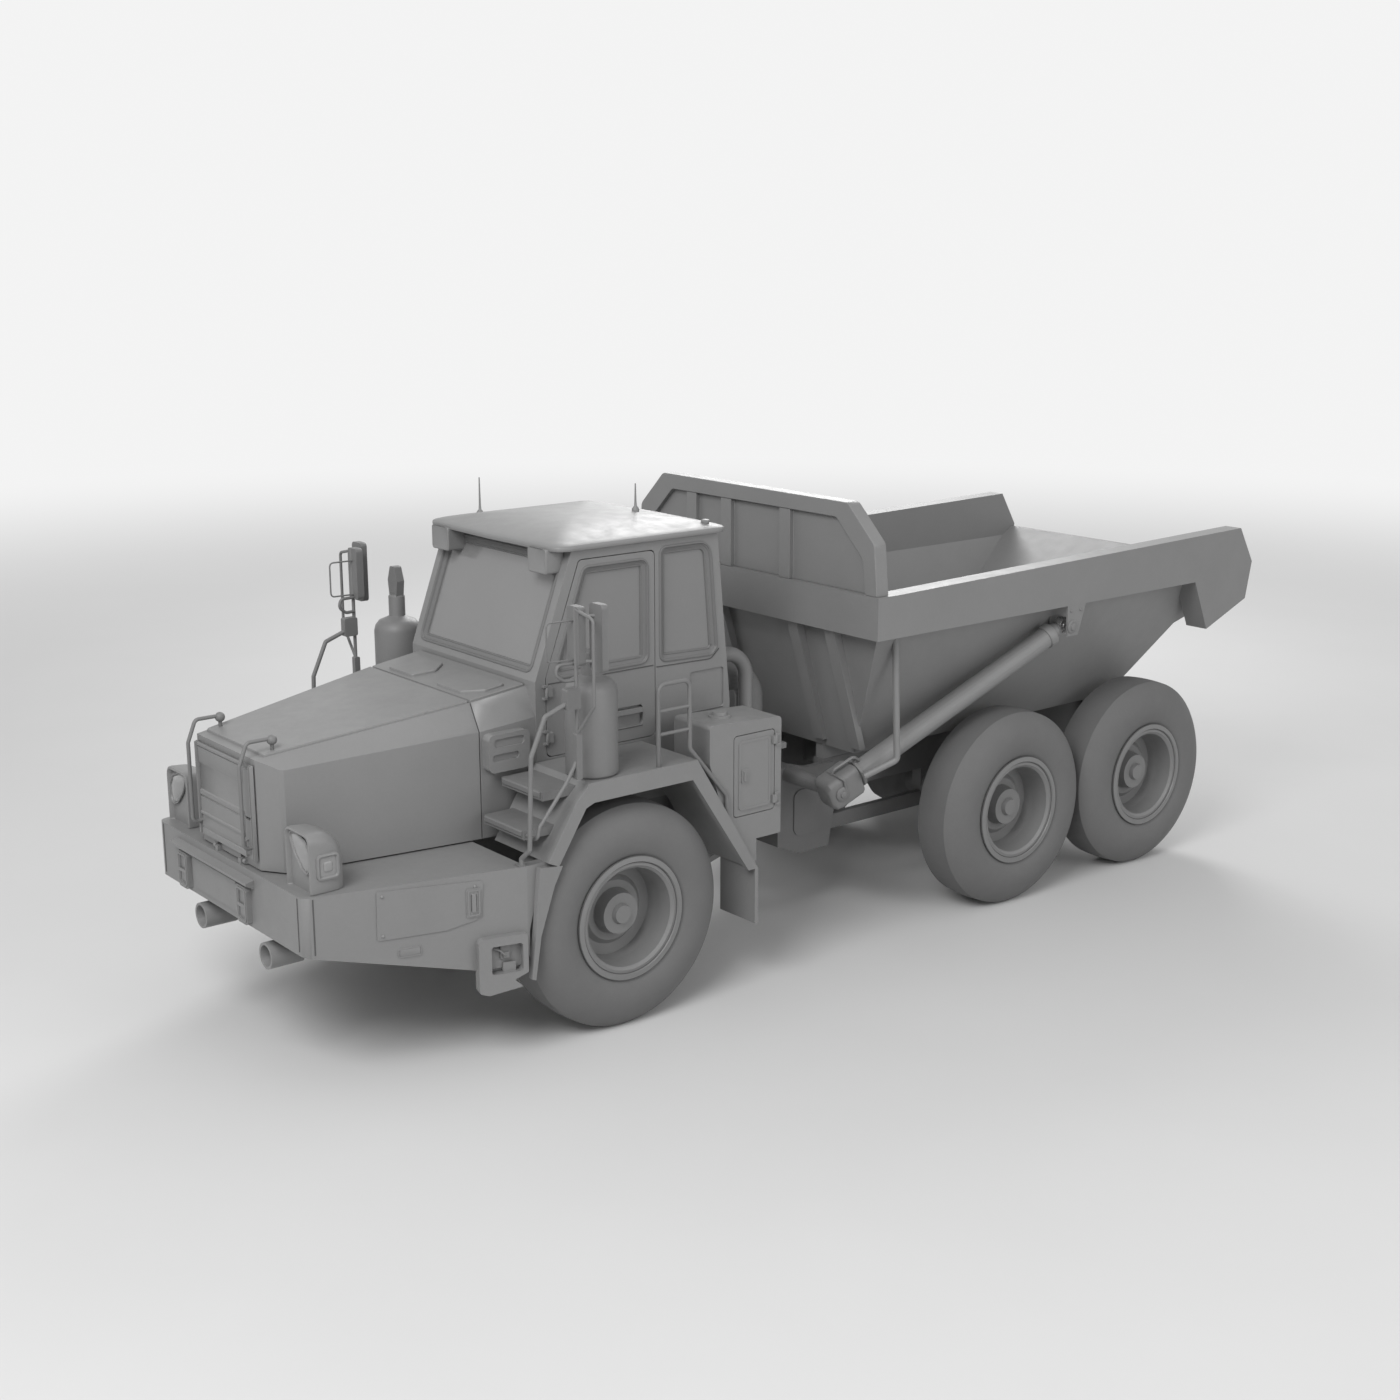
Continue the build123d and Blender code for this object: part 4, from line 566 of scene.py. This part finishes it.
pull = rounded([at(0.318, y, z) for y, z in
                ((-4.452, 1.548), (-4.474, 1.544), (-4.474, 1.446), (-4.452, 1.442))], 0.012, 4, False)
add_piece("grille_face", joined([
    grille_part(-0.372, 0.280, GRILLE_STEPS),
    grille_part(0.288, 0.374, COLUMN_UPPER),
    grille_part(0.288, 0.374, COLUMN_LOWER),
    grille_part(-0.404, -0.378, GRILLE_EDGE),
    grille_part(0.380, 0.394, GRILLE_EDGE),
    grille_part(0.400, 0.414, GRILLE_EDGE),
    tube(pull, 0.006, False, 8),
]), "body_paint", "hood")

# latch inside each step frame's opening
for word, side in SIDES:
    place = flare_place(side)
    lever = rounded([place(-3.275, 0.825, 0.012), place(-3.240, 0.812, 0.026), place(-3.205, 0.776, 0.042)],
                    0.02, 5, False)
    add_piece("step_latch_" + word, joined([
        plate(flat_round(rectangle(-3.232, -3.160, 0.742, 0.842), 0.012), place, 0.0, 0.022),
        plate(flat_round(rectangle(-3.218, -3.176, 0.756, 0.796), 0.006), place, 0.020, 0.040),
        tube(lever, 0.008, False, 8),
    ]), "trim", "front", 0.003)

# headlamp housings: rounded shells with a leaf shaped lens in front and a square lamp at the side
POD_SECTIONS = (
    # y, inner x, outer x, top z, radius of the upper corners
    (-4.372, 0.748, 1.008, 1.708, 0.040),
    (-4.396, 0.738, 1.018, 1.718, 0.050),
    (-4.402, 0.728, 1.028, 1.728, 0.060),
    (-4.396, 0.716, 1.038, 1.740, 0.070),
    (-4.375, 0.713, 1.041, 1.744, 0.075),
    (-4.280, 0.716, 1.041, 1.740, 0.095),
    (-4.215, 0.722, 1.036, 1.712, 0.110),
    (-4.172, 0.734, 1.022, 1.668, 0.115),
    (-4.152, 0.752, 1.000, 1.618, 0.110),
    (-4.146, 0.790, 0.960, 1.560, 0.080),
)
LEAF = ((0.752, 1.706), (0.860, 1.712), (0.960, 1.682), (1.010, 1.612), (1.014, 1.520), (0.975, 1.472),
        (0.905, 1.500), (0.815, 1.590))
POD_FACE_Y = -4.378
POD_SIDE_X = 1.038
housings = []
for word, side in SIDES:
    rows = []
    for y, x0, x1, top, corner in POD_SECTIONS:
        outline = flat_round(rectangle(side * x0, side * x1, 1.349, top), (0.012, 0.012, corner, corner), 8)
        rows.append([at(p.x, y, p.y) for p in outline])
    housings.append(loft(rows))
    lamp_rim = ((0.006, -0.004), (0.002, 0.014), (-0.010, 0.017), (-0.018, 0.012), (-0.022, 0.002))
    frame_line = flat_round(rectangle(-4.352, -4.200, 1.441, 1.605), 0.034)
    housings.append(band(frame_line, side_place(side, POD_SIDE_X), lamp_rim))
    leaf = flat_round([(side * u, v) for u, v in LEAF], 0.05, 6)
    housings.append(band(leaf, front_place(POD_FACE_Y),
                         ((0.010, 0.004), (0.007, 0.014), (0.000, 0.014), (-0.004, 0.004))))
    add_piece("headlamp_lens_" + word, plate(leaf, front_place(POD_FACE_Y), -0.004, 0.004, 0.022),
              "lens", "front")
    lamp = flat_round(rectangle(-4.334, -4.218, 1.459, 1.587), 0.022)
    inner = flat_round(rectangle(-4.308, -4.244, 1.488, 1.558), 0.018)
    add_piece("side_lamp_lens_" + word, joined([
        plate(lamp, side_place(side, POD_SIDE_X), -0.003, 0.004, 0.002),
        plate(inner, side_place(side, POD_SIDE_X), 0.0, 0.012, 0.003, 0.005),
    ]), "lens", "front")
shells = add_piece("headlamp_housings", joined(housings), "body_paint", "front")
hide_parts("headlamps")

# mirror glasses behind the housings, and the wire guard with its hook ahead of them
MIRROR_GLASSES = ((1.376, 1.482, -2.600, 2.655, 3.015), (1.483, 1.597, -2.504, 2.615, 3.035))
MIRROR_WIRE = ((1.430, -2.652, 2.935), (1.415, -2.855, 2.940),
               (1.415, -2.855, 2.682), (1.430, -2.652, 2.677))
MIRROR_HOOK = ((1.430, -2.652, 2.655), (1.418, -2.775, 2.655), (1.418, -2.790, 2.590),
               (1.425, -2.730, 2.545), (1.440, -2.652, 2.545))
for word, side in SIDES:
    for number, (x0, x1, y, z0, z1) in enumerate(MIRROR_GLASSES):
        face = flat_round(rectangle(side * x0, side * x1, z0, z1), 0.02)
        add_piece("mirror_glass_%s_%d" % (word, number), plate(face, back_place(y), -0.002, 0.002),
                  "mirror_face", "front")
    wire = rounded([at(side * x, y, z) for x, y, z in MIRROR_WIRE], 0.035, 6, False)
    hook = rounded([at(side * x, y, z) for x, y, z in MIRROR_HOOK], 0.05, 6, False)
    add_piece("mirror_guard_" + word, joined([tube(wire, 0.006, False, 8), tube(hook, 0.012, False, 10)]),
              "trim", "front")

# guard pipe under each body rail, bent in over the hoist barrel
for word, side in SIDES:
    path = rounded([at(side * x, y, z) for x, y, z in
                    ((1.290, 0.400, 2.435), (1.290, 0.452, 1.420), (1.165, 0.230, 1.300))], 0.05, 8, False)
    foot = lathe(((0.0, 0.046), (0.020, 0.046), (0.045, 0.028)),
                 at(side * 1.290, 0.400, 2.432), (0, 0.05, -1), 20)
    add_piece("guard_pipe_" + word, joined([tube(path, 0.026, False, 16), foot]),
              "body_paint", "bed")

# pads on the cowl's top, ahead of the windscreen
PAD_CORNERS = ((0.16, -2.925), (0.47, -2.925), (0.60, -2.800), (0.60, -2.640), (0.20, -2.640),
               (0.10, -2.760))
pads = []
for side in (1, -1):
    outline = flat_round([(side * x, y) for x, y in PAD_CORNERS], 0.04)
    pads.append(plate(outline, cowl_top, 0.010, 0.034, 0.0, 0.005))
add_piece("cowl_pads", joined(pads), "body_paint", "front")

# roof: one smooth dome with round corners, lamp pods, whip aerials and the rear knob
ROOF_RINGS = (
    # share of the plan, height
    (0.000, 3.255), (0.985, 3.255), (0.997, 3.259), (1.000, 3.268), (1.000, 3.282), (0.996, 3.290),
    (0.986, 3.295), (0.94, 3.306), (0.88, 3.317), (0.80, 3.330), (0.70, 3.343), (0.60, 3.352),
    (0.50, 3.359), (0.40, 3.364),
    (0.30, 3.367), (0.20, 3.3695), (0.10, 3.371), (0.000, 3.371),
)
ROOF_CORNERS = ((-0.835, -2.350), (0.0, -2.375), (0.835, -2.350),
                (0.835, -0.840), (0.0, -0.825), (-0.835, -0.840))
ROOF_POD_ROWS = (
    # y, how much wider than the pod's own half width
    (-2.371, -0.020), (-2.376, -0.012), (-2.376, -0.006), (-2.370, 0.0), (-2.235, 0.0), (-2.225, -0.01),
)
ROOF_POD_HALF = 0.112
roof_plan = flat_round(ROOF_CORNERS, (0.13, 0.9, 0.13, 0.13, 0.9, 0.13), 12)
roof_middle = Vector((0.0, -1.600))
roof_rows = []
for share, z in ROOF_RINGS:
    roof_rows.append([at(roof_middle.x + (p.x - roof_middle.x) * share,
                         roof_middle.y + (p.y - roof_middle.y) * share, z) for p in roof_plan])
roof_shapes = [loft(roof_rows, False)]
for word, side in SIDES:
    middle = side * 0.620
    rows = []
    for y, grow in ROOF_POD_ROWS:
        outline = flat_round(rectangle(middle - ROOF_POD_HALF - grow, middle + ROOF_POD_HALF + grow,
                                       3.098 - grow, 3.270), 0.022)
        rows.append([at(p.x, y, p.y) for p in outline])
    roof_shapes.append(loft(rows))
roof_shapes.append(lathe(((-0.010, 0.026), (0.030, 0.026), (0.040, 0.032), (0.056, 0.030), (0.062, 0.020)),
                         at(0.715, -0.975, 3.280), (0, 0, 1), 20))
for x, y, z, high in ((-0.690, -1.980, 3.322, 3.584), (0.160, -1.180, 3.371, 3.561)):
    roof_shapes.append(lathe(((-0.020, 0.028), (0.000, 0.028), (0.012, 0.022), (0.024, 0.011), (0.060, 0.008),
                              (high - z, 0.0045)), at(x, y, z), (0, 0, 1), 16))
roof = add_piece("roof_dome", joined(roof_shapes), "body_paint", "front")
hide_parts("cab_roof")

# block, band, bolts, hose and strap round each hoist barrel's lower end
LOW = Vector((0.980, 0.090, 1.180))
HIGH = Vector((1.360, 2.230, 2.250))
HOIST_BLOCK = (
    # distance along the barrel, half width, half height
    (-0.104, 0.070, 0.078), (-0.098, 0.090, 0.096), (-0.074, 0.108, 0.118), (-0.030, 0.113, 0.126),
    (0.175, 0.113, 0.126), (0.198, 0.104, 0.116), (0.202, 0.090, 0.100),
)
BAND_MIDDLE = 0.23
PIN_CAP = ((-0.004, 0.058), (0.010, 0.058), (0.016, 0.050), (0.018, 0.030), (0.030, 0.026),
           (0.034, 0.018))
for word, side in SIDES:
    low_end = at(side * LOW.x, LOW.y, LOW.z)
    run = (at(side * HIGH.x, HIGH.y, HIGH.z) - low_end).normalized()
    out = Vector((side, 0, 0))
    out = (out - run * out.dot(run)).normalized()
    up = run.cross(out) * (1 if run.cross(out).z > 0 else -1)
    shapes = [lathe(((0.215, 0.104), (0.217, 0.112), (0.243, 0.112), (0.245, 0.104)), low_end, run, 40)]
    for turn in (0.4, 1.2, 2.0, 2.8):
        spot = low_end + run * BAND_MIDDLE + (out * math.cos(turn) + up * math.sin(turn)) * 0.111
        shapes.append(dome(spot, spot - (low_end + run * BAND_MIDDLE), 0.012, 0.010, 8))
    rows = []
    for along, half_out, half_up in HOIST_BLOCK:
        outline = flat_round(rectangle(-half_out, half_out, -half_up, half_up), 0.045, 6)
        rows.append([low_end + run * along + out * p.x + up * p.y for p in outline])
    shapes.append(loft(rows))
    shapes.append(lathe(PIN_CAP, low_end + out * 0.112, out, 28))
    strap = rounded([low_end + run * 0.03 + up * 0.128 - out * 0.06,
                     low_end + run * 0.03 + up * 0.134 + out * 0.113,
                     low_end + run * 0.05 + out * 0.124 + up * 0.10,
                     low_end + run * 0.03 + out * 0.122 - up * 0.02], 0.03, 6, False)
    shapes.append(tube(strap, 0.010, False, 8))
    hose = rounded([low_end + run * 0.02 + up * 0.120,
                    low_end + run * 0.05 + up * 0.165 + out * 0.02,
                    low_end + run * 0.24 + up * 0.165 + out * 0.03,
                    low_end + run * 0.29 + up * 0.075], 0.05, 6, False)
    shapes.append(tube(hose, 0.013, False, 10))
    add_piece("hoist_band_" + word, joined(shapes), "machinery", "hoist_barrel_" + word, 0.002)

# pin heads on the hoist ears, and a nut behind each rod's eye
EAR_FACE_X = 1.458
EAR_CAP = ((-0.002, 0.056), (0.008, 0.056), (0.012, 0.050), (0.014, 0.034), (0.024, 0.032),
           (0.028, 0.024))
ROD_NUT = ((-0.124, 0.046), (-0.122, 0.060), (-0.118, 0.064), (-0.086, 0.064), (-0.080, 0.058),
           (-0.060, 0.052))
for word, side in SIDES:
    high_end = at(side * HIGH.x, HIGH.y, HIGH.z)
    run = (high_end - at(side * LOW.x, LOW.y, LOW.z)).normalized()
    heads = [lathe(EAR_CAP, at(side * EAR_FACE_X, HIGH.y, HIGH.z), (side, 0, 0), 28)]
    for y in (-0.020, 0.095):
        heads.append(dome(at(side * EAR_FACE_X, HIGH.y + y, HIGH.z + 0.130), (side, 0, 0), 0.013, 0.011, 8))
    add_piece("hoist_pin_heads_" + word, joined(heads), "machinery", "bed")
    add_piece("hoist_rod_nut_" + word, lathe(ROD_NUT, high_end, run, 32),
              "machinery", "hoist_rod_" + word)

# dark rings round each rim's flange: painted shade in the grooves and in the step from the flange down to the
# tyre
AXLE_Y = {"front": -2.200, "mid": 1.725, "rear": 3.345}
AXLE_Z = 0.800
GROOVE_POINTS = 72
GROOVES = (
    # x, radius of the groove, half its width
    (1.4245, 0.4405, 0.004), (1.4175, 0.3960, 0.0045), (1.4080, 0.3715, 0.0035),
)
for wheel, y in AXLE_Y.items():
    for word, side in SIDES:
        shade_rings = []
        # each ring is a thin dark tube laid where the shade of a groove or step falls
        for x, radius, thick in GROOVES:
            angles = [2 * math.pi * k / GROOVE_POINTS for k in range(GROOVE_POINTS)]
            circle = [at(side * x, y + radius * math.cos(a), AXLE_Z + radius * math.sin(a)) for a in angles]
            shade_rings.append(tube(circle, thick, True, 6))
        wheel_name = "%s_%s" % (wheel, word)
        add_piece("rim_groove_shade_rings_" + wheel_name, joined(shade_rings), "seam", "wheel_" + wheel_name)


# stage
def seen_rays(tree):
    # 1 for rays from the camera, a glossy surface or through glass
    path = tree.nodes.new("ShaderNodeLightPath")
    total = path.outputs["Is Camera Ray"]
    for kind in ("Is Glossy Ray", "Is Transmission Ray"):
        step = tree.nodes.new("ShaderNodeMath")
        step.operation = "ADD"
        step.use_clamp = True
        tree.links.new(total, step.inputs[0])
        tree.links.new(path.outputs[kind], step.inputs[1])
        total = step.outputs["Value"]
    return total


def floor_material(name, grey, backdrop_grey, blend_start, blend_end):
    # pale floor that turns into the backdrop's paleness away from the object
    mat, tree, shader = new_material(name)
    drift = ramp(tree, noise(tree, 0.6), 0.0, 1.0)
    tree.links.new(grey_mix(tree, drift, grey * 0.99, grey * 1.01), shader.inputs["Base Color"])
    shader.inputs["Roughness"].default_value = 0.9
    coords = tree.nodes.new("ShaderNodeTexCoord")
    reach = tree.nodes.new("ShaderNodeVectorMath")
    reach.operation = "LENGTH"
    tree.links.new(coords.outputs["Object"], reach.inputs[0])
    far = ramp(tree, reach.outputs["Value"], 0.0, 1.0, blend_start, blend_end)
    far.node.interpolation_type = "SMOOTHSTEP"
    share = tree.nodes.new("ShaderNodeMath")
    share.operation = "MULTIPLY"
    tree.links.new(far, share.inputs[0])
    tree.links.new(seen_rays(tree), share.inputs[1])
    glow = tree.nodes.new("ShaderNodeEmission")
    glow.inputs["Color"].default_value = (backdrop_grey, backdrop_grey, backdrop_grey, 1.0)
    glow.inputs["Strength"].default_value = 1.0
    mixed = tree.nodes.new("ShaderNodeMixShader")
    tree.links.new(share.outputs["Value"], mixed.inputs["Fac"])
    tree.links.new(shader.outputs["BSDF"], mixed.inputs[1])
    tree.links.new(glow.outputs["Emission"], mixed.inputs[2])
    tree.links.new(mixed.outputs["Shader"], tree.nodes["Material Output"].inputs["Surface"])
    return mat


bpy.ops.mesh.primitive_grid_add(x_subdivisions=8, y_subdivisions=8, size=120.0, location=(0, 0, 0))
floor = bpy.context.object
floor.name = "floor"
floor.data.materials.append(floor_material("floor_paper", FLOOR_GREY, WORLD_GREY, 8.0, 30.0))
floor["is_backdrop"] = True

world = bpy.context.scene.world or bpy.data.worlds.new("studio")
bpy.context.scene.world = world
world.use_nodes = True
world_tree = world.node_tree
world_tree.nodes.clear()
sky = world_tree.nodes.new("ShaderNodeBackground")
sky.inputs["Color"].default_value = (1.0, 1.0, 1.0, 1.0)
sky.inputs["Strength"].default_value = WORLD_STRENGTH
backdrop = world_tree.nodes.new("ShaderNodeBackground")
backdrop.inputs["Color"].default_value = (WORLD_GREY, WORLD_GREY, WORLD_GREY, 1.0)
backdrop.inputs["Strength"].default_value = 1.0
mix = world_tree.nodes.new("ShaderNodeMixShader")
out = world_tree.nodes.new("ShaderNodeOutputWorld")
world_tree.links.new(seen_rays(world_tree), mix.inputs["Fac"])
world_tree.links.new(sky.outputs["Background"], mix.inputs[1])
world_tree.links.new(backdrop.outputs["Background"], mix.inputs[2])
world_tree.links.new(mix.outputs["Shader"], out.inputs["Surface"])


def area_lamp(name, place, aim, size, power):
    data = bpy.data.lights.new(name, "AREA")
    data.size = size
    data.energy = power
    lamp = bpy.data.objects.new(name, data)
    bpy.context.scene.collection.objects.link(lamp)
    lamp.location = place
    lamp.rotation_mode = "QUATERNION"
    lamp.rotation_quaternion = (Vector(aim) - Vector(place)).to_track_quat("-Z", "Y")
    return lamp


area_lamp("key_lamp", (6.0, -12.0, 12.0), (0.0, -1.0, 1.2), 7.0, 1500.0)
area_lamp("fill_lamp", (15.0, 2.0, 7.0), (0.0, -0.5, 1.2), 8.0, 500.0)
area_lamp("rim_lamp", (-9.0, 9.0, 10.0), (0.0, 0.0, 1.5), 6.0, 1050.0)

# camera
camera_data = bpy.data.cameras.new("camera")
camera_data.lens = CAMERA_LENS
camera_data.sensor_width = SENSOR_WIDTH
camera_data.clip_end = 200.0
camera = bpy.data.objects.new("camera", camera_data)
bpy.context.scene.collection.objects.link(camera)
camera_back = Vector((math.sin(CAMERA_AZIMUTH) * math.cos(CAMERA_ELEVATION),
                      -math.cos(CAMERA_AZIMUTH) * math.cos(CAMERA_ELEVATION),
                      math.sin(CAMERA_ELEVATION)))
camera.location = CAMERA_TARGET + camera_back * CAMERA_DISTANCE
camera.rotation_mode = "QUATERNION"
camera.rotation_quaternion = (-camera_back).to_track_quat("-Z", "Y")
bpy.context.scene.camera = camera
bpy.context.scene.view_settings.view_transform = "Standard"

low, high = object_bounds()
